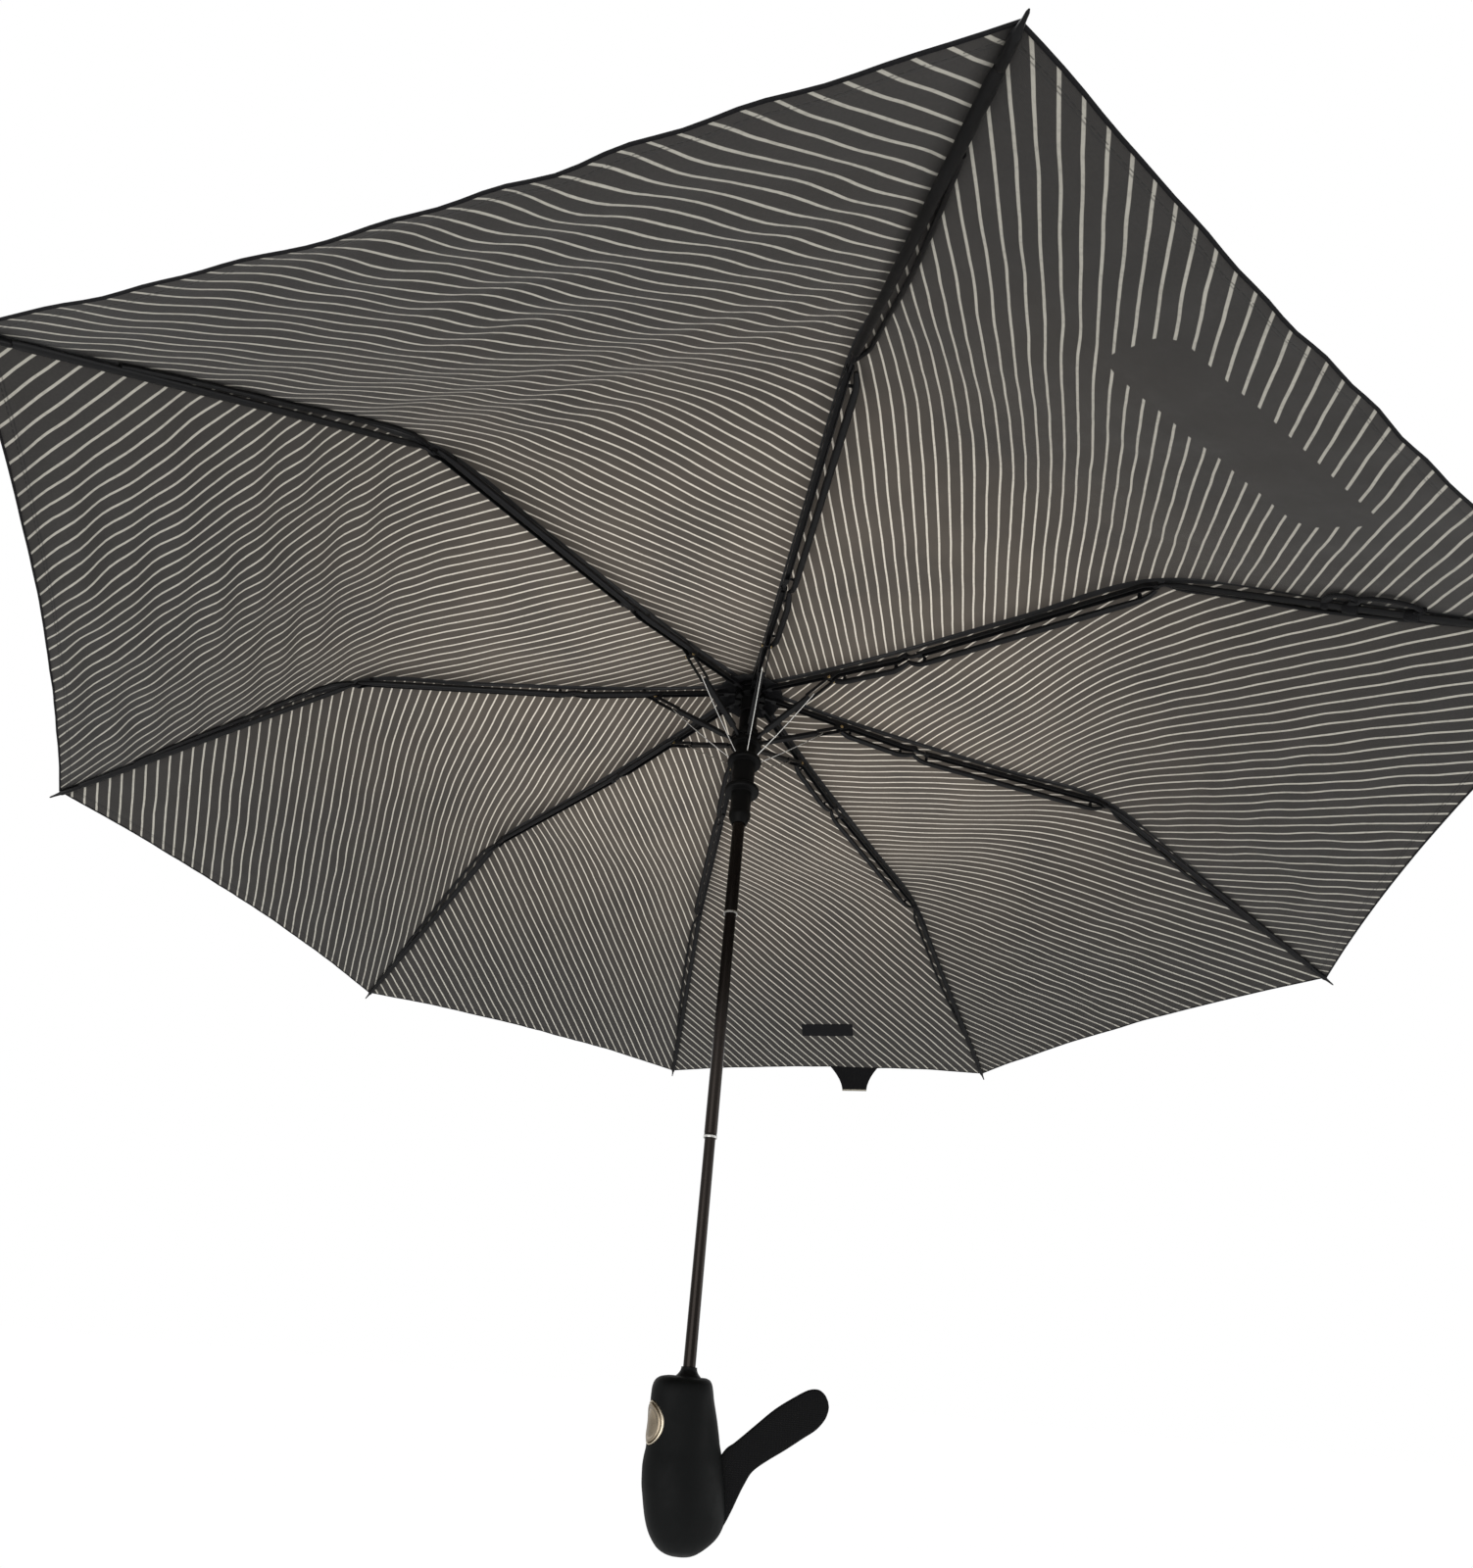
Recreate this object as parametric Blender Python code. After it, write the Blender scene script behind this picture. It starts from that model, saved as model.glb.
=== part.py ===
"""An eight-rib compact umbrella, open. Metres, +Z up the shaft, origin at the middle of the grip.

The shaft is three tubes that slide into each other. A runner slides on the upper tube and works
eight stretchers, each of which carries one rib of three hinged links. Heights are given as depths
below the crown's top face, and ribs are laid out as (radius, depth) in their own radial plane.
"""

import math

import bmesh
import bpy
from mathutils import Matrix, Vector

# Shaft and fits
RIB_COUNT = 8
SHAFT_LENGTH = 0.512
GRIP_LENGTH = 0.0757
FIT = 0.0003
OVERRUN = 0.004
TUBE_WALL = 0.0004
UPPER_TUBE_RADIUS = 0.0049
UPPER_TUBE_END = 0.225
MIDDLE_TUBE_END = 0.385
TUBE_OVERLAP = 0.030
TUBE_LIP = 0.0012
TUBE_SINK = 0.050
UPPER_TUBE_START = 0.002

# Rib linkage: pivots as (radius, depth)
CROWN_PIVOT = (0.0105, 0.0060)
RUNNER_PIVOT = (0.0105, 0.0595)
STRETCHER_JOINT = (0.083, 0.028)
MIDDLE_JOINT = (0.150, 0.037)
ELBOW = (0.323, 0.066)
RIB_TIP = (0.485, 0.206)

# Rib links: sections, ears and pins
JOINT_RISE = 0.0024
ELBOW_DROP = 0.0022
RIB_WALL = 0.0006
TOP_RIB_WIDTH = 0.0044
TOP_RIB_HEIGHT = 0.0036
MIDDLE_RIB_WIDTH = 0.0040
MIDDLE_RIB_HEIGHT = 0.0034
OUTER_RIB_WIDTH = 0.0050
OUTER_RIB_HEIGHT = 0.0028
STRETCHER_WIDTH = 0.0046
STRETCHER_HEIGHT = 0.0030
STRETCHER_GROOVE = 0.0016
STRETCHER_GROOVE_WIDTH = 0.0020
FORK_DEPTH = 0.0225
FORK_WALL = 0.0008
FORK_GAP = 0.0004
EAR_RADIUS = 0.0020
EAR_RUN = 0.0070
TONGUE_WIDTH = 0.0022
TONGUE_HEIGHT = 0.0024
TONGUE_LENGTH = 0.0095
TONGUE_GRIP = 0.0040
PIN_RADIUS = 0.0007
RIVET_RADIUS = 0.0014
RIVET_HEIGHT = 0.0004
WEB_CUT = 0.0034
TIP_CUP_RADIUS = 0.0018
TIP_CUP_LENGTH = 0.012
TIP_POINT_RADIUS = 0.0005
TIP_POINT_LENGTH = 0.007

# Drive rods: each lies beside and below its link, held by a bracket at either end
DRIVE_ROD_RADIUS = 0.0016
DRIVE_ROD_ASIDE = 0.0056
DRIVE_ROD_DROP = 0.0045
DRIVE_ROD_START = 0.0130
DRIVE_ROD_MARGIN = 0.0110
BRACKET_HALF_WIDTH = 0.0013
BRACKET_THICKNESS = 0.0012
BRACKET_PIN_RADIUS = 0.0010

# Hinge wires
WIRE_RADIUS = 0.00045

# Crown
CROWN_RADIUS = 0.0135
CROWN_HEIGHT = 0.013
CROWN_ROOF = 0.0036
CROWN_SLEEVE_RADIUS = 0.0080
CROWN_SLEEVE_END = 0.028
NOTCH_WIDTH = 0.0030
NOTCH_ROOT = 0.0082

# Runner: depths of its faces and its radii
RUNNER_TOP = 0.031
RUNNER_RING_TOP = 0.053
RUNNER_RING_END = 0.066
RUNNER_FLOOR = 0.0630
RUNNER_SLEEVE_RADIUS = 0.0078
RUNNER_RING_RADIUS = 0.0130
RUNNER_NECK_RADIUS = 0.0094
RUNNER_COLLAR_RADIUS = 0.0143
RUNNER_COLLAR_HEIGHT = 0.0050
RUNNER_COLLAR_BEVEL = 0.0010
RUNNER_UPPER_COLLAR = 0.0795
RUNNER_LOWER_COLLAR = 0.1095
RUNNER_BODY_RADIUS = 0.0083
RUNNER_BEAD_RADIUS = 0.0088
RUNNER_BEAD = 0.1335
RUNNER_BEAD_HEIGHT = 0.0040
RUNNER_END = 0.1450
RUNNER_END_RADIUS = 0.0060

# Canopy and what closes it in the middle. The lifts are how far its underside lies above the
# stretcher's joint, the middle joint, the middle of that rib, the elbow, the outer rib and its tip
FABRIC = 0.0005
CANOPY_HOLE = 0.0058
STRETCHER_LIFT = 0.0115
JOINT_LIFT = 0.0070
MIDDLE_LIFT = 0.0065
ELBOW_LIFT = 0.0052
OUTER_LIFT = 0.0065
TIP_LIFT = 0.0024
HEM_SCALLOP_SHARE = 0.014
SEAM_GAP = 0.0003
ROSETTE_RADIUS = 0.031
ROSETTE_DROP = 0.0085
CAP_RADIUS = 0.0090
CAP_HEIGHT = 0.0110
CAP_RIM = 0.0020
CAP_FLAT_RADIUS = 0.0040
CAP_STEM = 0.010
TIE_GORE = 5
TIE_OFFSET = 0.041
TIE_TOP_WIDTH = 0.056
TIE_END_WIDTH = 0.028
TIE_DROP = 0.028
TIE_THICKNESS = 0.0010

# Grip
GRIP_RADIUS = 0.0206
GRIP_BORE = 0.0108
GRIP_BORE_DEPTH = 0.056
GRIP_SECTION_STEPS = 24
GRIP_FRONT_AZIMUTH = math.radians(-73)
COLLAR_RADIUS = 0.0068
COLLAR_TOP_RADIUS = 0.0046
COLLAR_HEIGHT = 0.0045
BUTTON_DEPTH = 0.0215
BUTTON_RADIUS = 0.0085
BUTTON_BACK = 0.0120
BUTTON_PROUD = 0.0008
BEZEL_WALL = 0.0009
BEZEL_BACK = 0.0125
BEZEL_PROUD = 0.0004
FACET = 0.0085
SPRING_POCKET_RADIUS = 0.0034
SPRING_POCKET = 0.0052
BUTTON_SPRING_RADIUS = 0.0026
BUTTON_SPRING_WIRE = 0.0003
BUTTON_SPRING_TURNS = 4

# Wrist strap, as (distance out from the axis, depth below the grip's top)
STRAP_THICKNESS = 0.0026
STRAP_PIN_OUT = 0.0145
STRAP_PIN_DEPTH = 0.0645
STRAP_PIN_RADIUS = 0.0010
STRAP_PIN_LENGTH = 0.014
STRAP_EYE_RADIUS = 0.0030
STRAP_SLOT_DEPTH = 0.0275
STRAP_SLOT_ROOT = 0.0112
STRAP_REACH = 0.0652
STRAP_RISE = 0.0645

# Main spring in the shaft
MAIN_SPRING_TURNS = 10
MAIN_SPRING_WIRE = 0.0004

# Where the grip's outline runs: share of its length, then of its radius in front, behind and aside,
# and how far the section's middle is set back
GRIP_STATION_SHARES = (
    (0.000, 0.72, 0.58, 0.59, 0.00),
    (0.012, 0.83, 0.61, 0.66, 0.00),
    (0.035, 0.92, 0.64, 0.74, 0.00),
    (0.075, 0.96, 0.68, 0.78, 0.00),
    (0.120, 0.97, 0.72, 0.79, 0.00),
    (0.250, 0.96, 0.88, 0.80, 0.00),
    (0.380, 0.95, 1.01, 0.81, 0.00),
    (0.430, 0.96, 1.06, 0.82, 0.01),
    (0.480, 1.00, 1.10, 0.84, 0.02),
    (0.540, 1.02, 1.14, 0.86, 0.03),
    (0.620, 1.02, 1.18, 0.88, 0.06),
    (0.700, 0.99, 1.19, 0.87, 0.10),
    (0.780, 0.95, 1.17, 0.84, 0.14),
    (0.840, 0.90, 1.07, 0.78, 0.17),
    (0.890, 0.83, 0.91, 0.70, 0.20),
    (0.930, 0.73, 0.69, 0.59, 0.22),
    (0.965, 0.58, 0.45, 0.44, 0.23),
    (0.990, 0.34, 0.24, 0.19, 0.25),
)
GRIP_END_SHIFT_SHARE = 0.25

CROWN_Z = SHAFT_LENGTH + GRIP_LENGTH / 2
CROWN_CORNER = CROWN_RADIUS / math.cos(math.pi / RIB_COUNT) + FIT
CANOPY_SEAT = 2 * FIT + FABRIC
GORE_ROWS = (1, 1, 1, 1, 2, 3, 2)
GORE_COLUMNS = 4
GRIP_TOP = SHAFT_LENGTH
STRAP_PIN = (STRAP_PIN_OUT, GRIP_TOP + STRAP_PIN_DEPTH)
STRAP_SLOT_TOP = GRIP_TOP + STRAP_SLOT_DEPTH
MIDDLE_TUBE_RADIUS = UPPER_TUBE_RADIUS - TUBE_WALL - FIT
LOWER_TUBE_RADIUS = MIDDLE_TUBE_RADIUS - TUBE_WALL - FIT
TURNED_STEPS = 20
SMALL_STEPS = 8
PIN_STEPS = 6
SHARP_ANGLE = math.radians(35)
UP = Vector((0, 0, 1))


def height(depth):
    """World height of a depth below the crown's top face."""
    return CROWN_Z - depth


def azimuth_of(rib):
    """Direction of rib 1, 2 and so on, clockwise seen from above."""
    return -math.tau / RIB_COUNT * (rib - 1)


# Materials


def material(name, colour, roughness, metallic):
    made = bpy.data.materials.new(name)
    made.use_nodes = True
    shader = made.node_tree.nodes["Principled BSDF"]
    shader.inputs["Base Color"].default_value = (*colour, 1)
    shader.inputs["Roughness"].default_value = roughness
    shader.inputs["Metallic"].default_value = metallic
    made.diffuse_color = (*colour, 1)
    return made


# Mesh tools: each returns a bmesh whose faces point out


def turned(profile, steps, axis_up=True):
    """Turns a profile of (radius, height) about Z. It closes on itself unless it ends on the axis."""
    made = bmesh.new()
    rings = []
    for radius, z in profile:
        if radius == 0:
            rings.append([made.verts.new((0, 0, z))] * steps)
            continue
        turn = [math.tau * i / steps for i in range(steps)]
        rings.append([made.verts.new((radius * math.cos(a), radius * math.sin(a), z)) for a in turn])
    closed = profile[0][0] > 0
    for n in range(len(rings) if closed else len(rings) - 1):
        skin(made, rings[n], rings[(n + 1) % len(rings)])
    face_outward(made)
    if not axis_up:
        bmesh.ops.transform(made, matrix=Matrix.Rotation(math.pi / 2, 4, "Y"), verts=made.verts)
    return made


def face_outward(made):
    bmesh.ops.recalc_face_normals(made, faces=made.faces)
    if made.calc_volume(signed=True) < 0:
        bmesh.ops.reverse_faces(made, faces=made.faces)


def skin(made, first, second, closed=True):
    """Faces between two rows of vertices, without the corners that fall together."""
    count = len(first)
    for i in range(count if closed else count - 1):
        j = (i + 1) % count
        corners = []
        for corner in (first[i], first[j], second[j], second[i]):
            if corner not in corners:
                corners.append(corner)
        made.faces.new(corners)


def slab(outline, half_width):
    """An outline of (x, z) points, thick along Y."""
    made = bmesh.new()
    sides = [[made.verts.new((x, y, z)) for x, z in outline] for y in (-half_width, half_width)]
    skin(made, *sides)
    for side in sides:
        made.faces.new(side)
    face_outward(made)
    return made


def arc(centre, radius, start, end, steps):
    """Points of an arc about (x, z), from one angle in degrees to another."""
    angles = [math.radians(start + (end - start) * i / steps) for i in range(steps + 1)]
    return [(centre[0] + radius * math.cos(a), centre[1] + radius * math.sin(a)) for a in angles]


def circle(centre, radius, steps=SMALL_STEPS):
    return arc(centre, radius, 0, 360 - 360 / steps, steps - 1)


def rectangle(x_low, x_high, z_low, z_high):
    return [(x_low, z_low), (x_high, z_low), (x_high, z_high), (x_low, z_high)]


def rod(centre, steps_along):
    """A round bar along Y through (x, z), given as (y, radius) steps."""
    made = bmesh.new()
    rings = []
    for y, radius in steps_along:
        rings.append([made.verts.new((x, y, z)) for x, z in circle(centre, radius, PIN_STEPS)])
    for first, second in zip(rings, rings[1:]):
        skin(made, first, second)
    made.faces.new(rings[0])
    made.faces.new(rings[-1])
    face_outward(made)
    return made


def rivet(centre, half_width):
    """A pin across a joint, with a head outside each ear."""
    outside = half_width + RIVET_HEIGHT
    return rod(
        centre,
        [(-outside, RIVET_RADIUS), (-half_width, RIVET_RADIUS), (-half_width, PIN_RADIUS)]
        + [(half_width, PIN_RADIUS), (half_width, RIVET_RADIUS), (outside, RIVET_RADIUS)],
    )


def joined(shapes):
    """Several shapes that don't meet, as one."""
    made = bmesh.new()
    for shape in shapes:
        mesh = bpy.data.meshes.new("shape")
        shape.to_mesh(mesh)
        made.from_mesh(mesh)
        bpy.data.meshes.remove(mesh)
        shape.free()
    return made


def moved(shape, matrix):
    bmesh.ops.transform(shape, matrix=matrix, verts=shape.verts)
    return shape


def combined(shape, operation, tool):
    """The shape after a Boolean with the tool."""
    objects = []
    for form in (shape, tool):
        mesh = bpy.data.meshes.new("form")
        form.to_mesh(mesh)
        form.free()
        made = bpy.data.objects.new("form", mesh)
        bpy.context.scene.collection.objects.link(made)
        objects.append(made)
    modifier = objects[0].modifiers.new("combine", "BOOLEAN")
    modifier.operation = operation
    modifier.object = objects[1]
    depsgraph = bpy.context.evaluated_depsgraph_get()
    depsgraph.update()
    result = bmesh.new()
    evaluated = objects[0].evaluated_get(depsgraph)
    mesh = evaluated.to_mesh()
    result.from_mesh(mesh)
    evaluated.to_mesh_clear()
    for made in objects:
        data = made.data
        bpy.data.objects.remove(made)
        bpy.data.meshes.remove(data)
    return result


def cut(shape, *tools):
    return combined(shape, "DIFFERENCE", joined(tools))


def united(shape, *tools):
    return combined(shape, "UNION", joined(tools))


def finished_mesh(name, shape):
    mesh = bpy.data.meshes.new(name)
    shape.to_mesh(mesh)
    shape.free()
    mesh.shade_smooth()
    mesh.set_sharp_from_angle(angle=SHARP_ANGLE)
    return mesh


def place(name, mesh, finish, matrix=None):
    made = bpy.data.objects.new(name, mesh)
    if not mesh.materials:
        mesh.materials.append(finish)
    made.matrix_world = matrix or Matrix()
    bpy.context.scene.collection.objects.link(made)
    return made


# Rib linkage


def link_line(start, end, rise):
    """Slope and length of a link whose end pivot lies this far above its own line."""
    run, drop = end[0] - start[0], end[1] - start[1]
    distance = math.hypot(run, drop)
    slope = math.atan2(-drop, run) - math.asin(rise / distance)
    return slope, math.sqrt(distance**2 - rise**2)


def in_link(start, slope, point):
    """A point given as (radius, depth), in the frame of a link that starts at start."""
    run, rise = point[0] - start[0], start[1] - point[1]
    return (
        run * math.cos(slope) + rise * math.sin(slope),
        rise * math.cos(slope) - run * math.sin(slope),
    )


def link_matrix(rib, pivot, slope):
    around = Matrix.Rotation(azimuth_of(rib), 4, "Z")
    out = Matrix.Translation((pivot[0], 0, height(pivot[1])))
    return around @ out @ Matrix.Rotation(-slope, 4, "Y")


TOP_SLOPE, TOP_LENGTH = link_line(CROWN_PIVOT, MIDDLE_JOINT, JOINT_RISE)
MIDDLE_SLOPE, MIDDLE_LENGTH = link_line(MIDDLE_JOINT, ELBOW, -JOINT_RISE - ELBOW_DROP)
OUTER_SLOPE, OUTER_LENGTH = link_line(ELBOW, RIB_TIP, ELBOW_DROP)
STRETCHER_SLOPE, STRETCHER_LENGTH = link_line(RUNNER_PIVOT, STRETCHER_JOINT, 0)


def tongue(line_height, root_radius):
    """A flat tongue about the origin that runs out to a link whose line is at this height."""
    half = TONGUE_HEIGHT / 2
    reach = TONGUE_LENGTH + TONGUE_GRIP / 2
    middle = TONGUE_LENGTH / 2
    outline = arc((0, 0), EAR_RADIUS, 90, 270, 4)
    outline += [(middle, line_height - half), (reach, line_height - half)]
    outline += [(reach, line_height + half), (middle, line_height + half)]
    made = slab(outline, TONGUE_WIDTH / 2)
    hole = slab(circle((0, 0), root_radius), TONGUE_WIDTH)
    return made, hole


def channel_cut(length, line_height, section_height, half_width):
    """What hollows a link from below, and opens its web near the far joint."""
    web_under = line_height + section_height / 2 - RIB_WALL
    start = TONGUE_LENGTH + TONGUE_GRIP
    far = length + EAR_RADIUS + OVERRUN
    low, high = line_height - 2 * section_height - OVERRUN, line_height + section_height + OVERRUN
    outline = [(start, low), (far, low), (far, high), (length - WEB_CUT, high)]
    outline += [(length - WEB_CUT, web_under), (start, web_under)]
    return slab(outline, half_width)


def drive_rod(start, end, line_height, rib_width):
    """A round rod along a link, with brackets that reach down from the link's side to carry it."""
    low = line_height - DRIVE_ROD_DROP
    aside = Matrix.Translation((0, DRIVE_ROD_ASIDE, 0))
    profile = [(0, start), (DRIVE_ROD_RADIUS, start), (DRIVE_ROD_RADIUS, end), (0, end)]
    bar = moved(turned(profile, PIN_STEPS, axis_up=False), Matrix.Translation((0, DRIVE_ROD_ASIDE, low)))
    plates, pins = [], []
    inside = rib_width / 2 - RIB_WALL / 2
    for along in (start, end):
        foot = arc((along, low), BRACKET_HALF_WIDTH, 180, 360, 4)
        head = arc((along, line_height), BRACKET_HALF_WIDTH, 0, 180, 4)
        plates.append(moved(slab(foot + head, BRACKET_THICKNESS / 2), aside))
        pin = [(inside, BRACKET_PIN_RADIUS), (DRIVE_ROD_ASIDE, BRACKET_PIN_RADIUS)]
        pins.append(rod((along, line_height), pin))
    return united(united(bar, *plates), *pins)


def top_rib_mesh():
    half = TOP_RIB_HEIGHT / 2
    joint = (TOP_LENGTH, JOINT_RISE)
    lug = in_link(CROWN_PIVOT, TOP_SLOPE, STRETCHER_JOINT)
    outline = [(TONGUE_LENGTH, -half), (lug[0] - EAR_RUN, -half)]
    outline += arc(lug, EAR_RADIUS, 210, 330, 3)
    outline += [(lug[0] + EAR_RUN, -half), (TOP_LENGTH - EAR_RUN, -half)]
    outline += arc(joint, EAR_RADIUS, -70, 110, 4)
    outline += [(TOP_LENGTH - EAR_RUN, half), (TONGUE_LENGTH, half)]
    body = slab(outline, TOP_RIB_WIDTH / 2)
    inside = TOP_RIB_WIDTH / 2 - RIB_WALL
    body = cut(body, channel_cut(TOP_LENGTH, 0, TOP_RIB_HEIGHT, inside))
    root, hole = tongue(0, WIRE_RADIUS + FIT)
    pin = rod(lug, [(-TOP_RIB_WIDTH / 2, PIN_RADIUS), (TOP_RIB_WIDTH / 2, PIN_RADIUS)])
    drive = drive_rod(lug[0] + EAR_RUN + EAR_RADIUS, TOP_LENGTH - DRIVE_ROD_MARGIN, 0, TOP_RIB_WIDTH)
    body = united(body, root, rivet(joint, TOP_RIB_WIDTH / 2), pin, drive)
    return finished_mesh("top_rib", cut(body, hole))


def middle_rib_mesh():
    half = MIDDLE_RIB_HEIGHT / 2
    line = -JOINT_RISE
    joint = (MIDDLE_LENGTH, line - ELBOW_DROP)
    outline = [(TONGUE_LENGTH, line - half), (MIDDLE_LENGTH - EAR_RUN, line - half)]
    outline += arc(joint, EAR_RADIUS, -110, 70, 4)
    outline += [(MIDDLE_LENGTH - EAR_RUN, line + half), (TONGUE_LENGTH, line + half)]
    body = slab(outline, MIDDLE_RIB_WIDTH / 2)
    inside = MIDDLE_RIB_WIDTH / 2 - RIB_WALL
    body = cut(body, channel_cut(MIDDLE_LENGTH, line, MIDDLE_RIB_HEIGHT, inside))
    root, hole = tongue(line, PIN_RADIUS + FIT)
    drive = drive_rod(DRIVE_ROD_START, MIDDLE_LENGTH - DRIVE_ROD_MARGIN, line, MIDDLE_RIB_WIDTH)
    body = united(body, root, rivet(joint, MIDDLE_RIB_WIDTH / 2), drive)
    return finished_mesh("middle_rib", cut(body, hole))


def outer_rib_mesh():
    cup_start = OUTER_LENGTH - TIP_CUP_LENGTH
    half = OUTER_RIB_HEIGHT / 2
    profile = [(0, TONGUE_LENGTH), (half, TONGUE_LENGTH), (half, cup_start), (0, cup_start)]
    flattened = Matrix.Diagonal((1, OUTER_RIB_WIDTH / OUTER_RIB_HEIGHT, 1, 1))
    bar = moved(turned(profile, SMALL_STEPS, axis_up=False), flattened)
    profile = [(0, cup_start - half), (TIP_CUP_RADIUS, cup_start - half), (TIP_CUP_RADIUS, OUTER_LENGTH)]
    profile += [(TIP_POINT_RADIUS, OUTER_LENGTH + TIP_POINT_LENGTH), (0, OUTER_LENGTH + TIP_POINT_LENGTH)]
    body = united(bar, turned(profile, PIN_STEPS, axis_up=False))
    body = moved(body, Matrix.Translation((0, 0, ELBOW_DROP)))
    root, hole = tongue(ELBOW_DROP, PIN_RADIUS + FIT)
    return finished_mesh("outer_rib", cut(united(body, root), hole))


def stretcher_mesh():
    fork_start = STRETCHER_LENGTH - FORK_DEPTH
    fork_half = TOP_RIB_WIDTH / 2 + FORK_GAP + FORK_WALL
    half = STRETCHER_HEIGHT / 2
    bar = slab(rectangle(TONGUE_LENGTH, fork_start, -half, half), STRETCHER_WIDTH / 2)
    outline = [(fork_start - 2 * FORK_WALL, -half), (STRETCHER_LENGTH, -half)]
    outline += arc((STRETCHER_LENGTH, 0), half, -60, 60, 3)
    outline += [(STRETCHER_LENGTH, half), (fork_start - 2 * FORK_WALL, half)]
    fork = slab(outline, fork_half)
    far = STRETCHER_LENGTH + EAR_RADIUS + OVERRUN
    gap = slab(rectangle(fork_start, far, -STRETCHER_HEIGHT, STRETCHER_HEIGHT), fork_half - FORK_WALL)
    groove_start, groove_end = TONGUE_LENGTH + TONGUE_GRIP, fork_start - TONGUE_GRIP
    groove = rectangle(groove_start, groove_end, half - STRETCHER_GROOVE, STRETCHER_HEIGHT)
    groove = slab(groove, STRETCHER_GROOVE_WIDTH / 2)
    root, hole = tongue(0, WIRE_RADIUS + FIT)
    inner, outer = fork_half - FORK_WALL / 2, fork_half + RIVET_HEIGHT
    pivot = (STRETCHER_LENGTH, 0)
    bosses = [
        rod(pivot, [(-outer, RIVET_RADIUS), (-inner, RIVET_RADIUS)]),
        rod(pivot, [(inner, RIVET_RADIUS), (outer, RIVET_RADIUS)]),
    ]
    body = united(cut(united(bar, fork), gap), root, *bosses)
    return finished_mesh("stretcher", cut(body, hole, groove))


def build_ribs(steel):
    links = (
        ("top_rib", top_rib_mesh(), CROWN_PIVOT, TOP_SLOPE),
        ("stretcher", stretcher_mesh(), RUNNER_PIVOT, STRETCHER_SLOPE),
        ("middle_rib", middle_rib_mesh(), MIDDLE_JOINT, MIDDLE_SLOPE),
        ("outer_rib", outer_rib_mesh(), ELBOW, OUTER_SLOPE),
    )
    for name, mesh, pivot, slope in links:
        for rib in range(1, RIB_COUNT + 1):
            place(f"{name}_{rib}", mesh, steel, link_matrix(rib, pivot, slope))


# Crown, runner and their wires


def notches(top_depth, end_depth):
    """Slots for the rib tongues, cut from outside in to the notch root."""
    low, high = height(end_depth), height(top_depth)
    tools = []
    for rib in range(1, RIB_COUNT + 1):
        box = slab(rectangle(NOTCH_ROOT, RUNNER_COLLAR_RADIUS + OVERRUN, low, high), NOTCH_WIDTH / 2)
        tools.append(moved(box, Matrix.Rotation(azimuth_of(rib), 4, "Z")))
    return tools


def wire_groove(outer_radius, depth):
    """The groove about a notched rim that holds the hinge wire, as profile points going down."""
    root = CROWN_PIVOT[0] - WIRE_RADIUS - FIT
    half = WIRE_RADIUS + FIT
    return [
        (outer_radius, height(depth - half)),
        (root, height(depth - half)),
        (root, height(depth + half)),
        (outer_radius, height(depth + half)),
    ]


def hinge_wire(pivot):
    """A wire bent to a polygon whose straight runs pass square through the ribs' eyes."""
    corner_radius = pivot[0] / math.cos(math.pi / RIB_COUNT)
    made = bmesh.new()
    rings = []
    for rib in range(1, RIB_COUNT + 1):
        angle = azimuth_of(rib) + math.pi / RIB_COUNT
        ring = []
        for out, up in circle((0, 0), WIRE_RADIUS, PIN_STEPS):
            radius = corner_radius + out / math.cos(math.pi / RIB_COUNT)
            point = (radius * math.cos(angle), radius * math.sin(angle), height(pivot[1]) + up)
            ring.append(made.verts.new(point))
        rings.append(ring)
    for n, ring in enumerate(rings):
        skin(made, ring, rings[(n + 1) % RIB_COUNT])
    face_outward(made)
    return made


def build_crown(plastic, wire_steel):
    bore = UPPER_TUBE_RADIUS + FIT
    profile = [(bore, height(0)), (CROWN_RADIUS, height(0))]
    profile += wire_groove(CROWN_RADIUS, CROWN_PIVOT[1])
    profile += [(CROWN_RADIUS, height(CROWN_HEIGHT)), (CROWN_SLEEVE_RADIUS, height(CROWN_HEIGHT))]
    profile += [(CROWN_SLEEVE_RADIUS, height(CROWN_SLEEVE_END)), (bore, height(CROWN_SLEEVE_END))]
    body = cut(turned(profile, TURNED_STEPS), *notches(CROWN_ROOF, CROWN_HEIGHT + FIT))
    place("crown", finished_mesh("crown", body), plastic)
    place("crown_wire", finished_mesh("crown_wire", hinge_wire(CROWN_PIVOT)), wire_steel)


def runner_collar(top_depth, radius):
    bevel = RUNNER_COLLAR_BEVEL
    return [
        (RUNNER_NECK_RADIUS, height(top_depth)),
        (radius - bevel, height(top_depth)),
        (radius, height(top_depth + bevel)),
        (radius, height(top_depth + RUNNER_COLLAR_HEIGHT - bevel)),
        (radius - bevel, height(top_depth + RUNNER_COLLAR_HEIGHT)),
    ]


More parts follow.
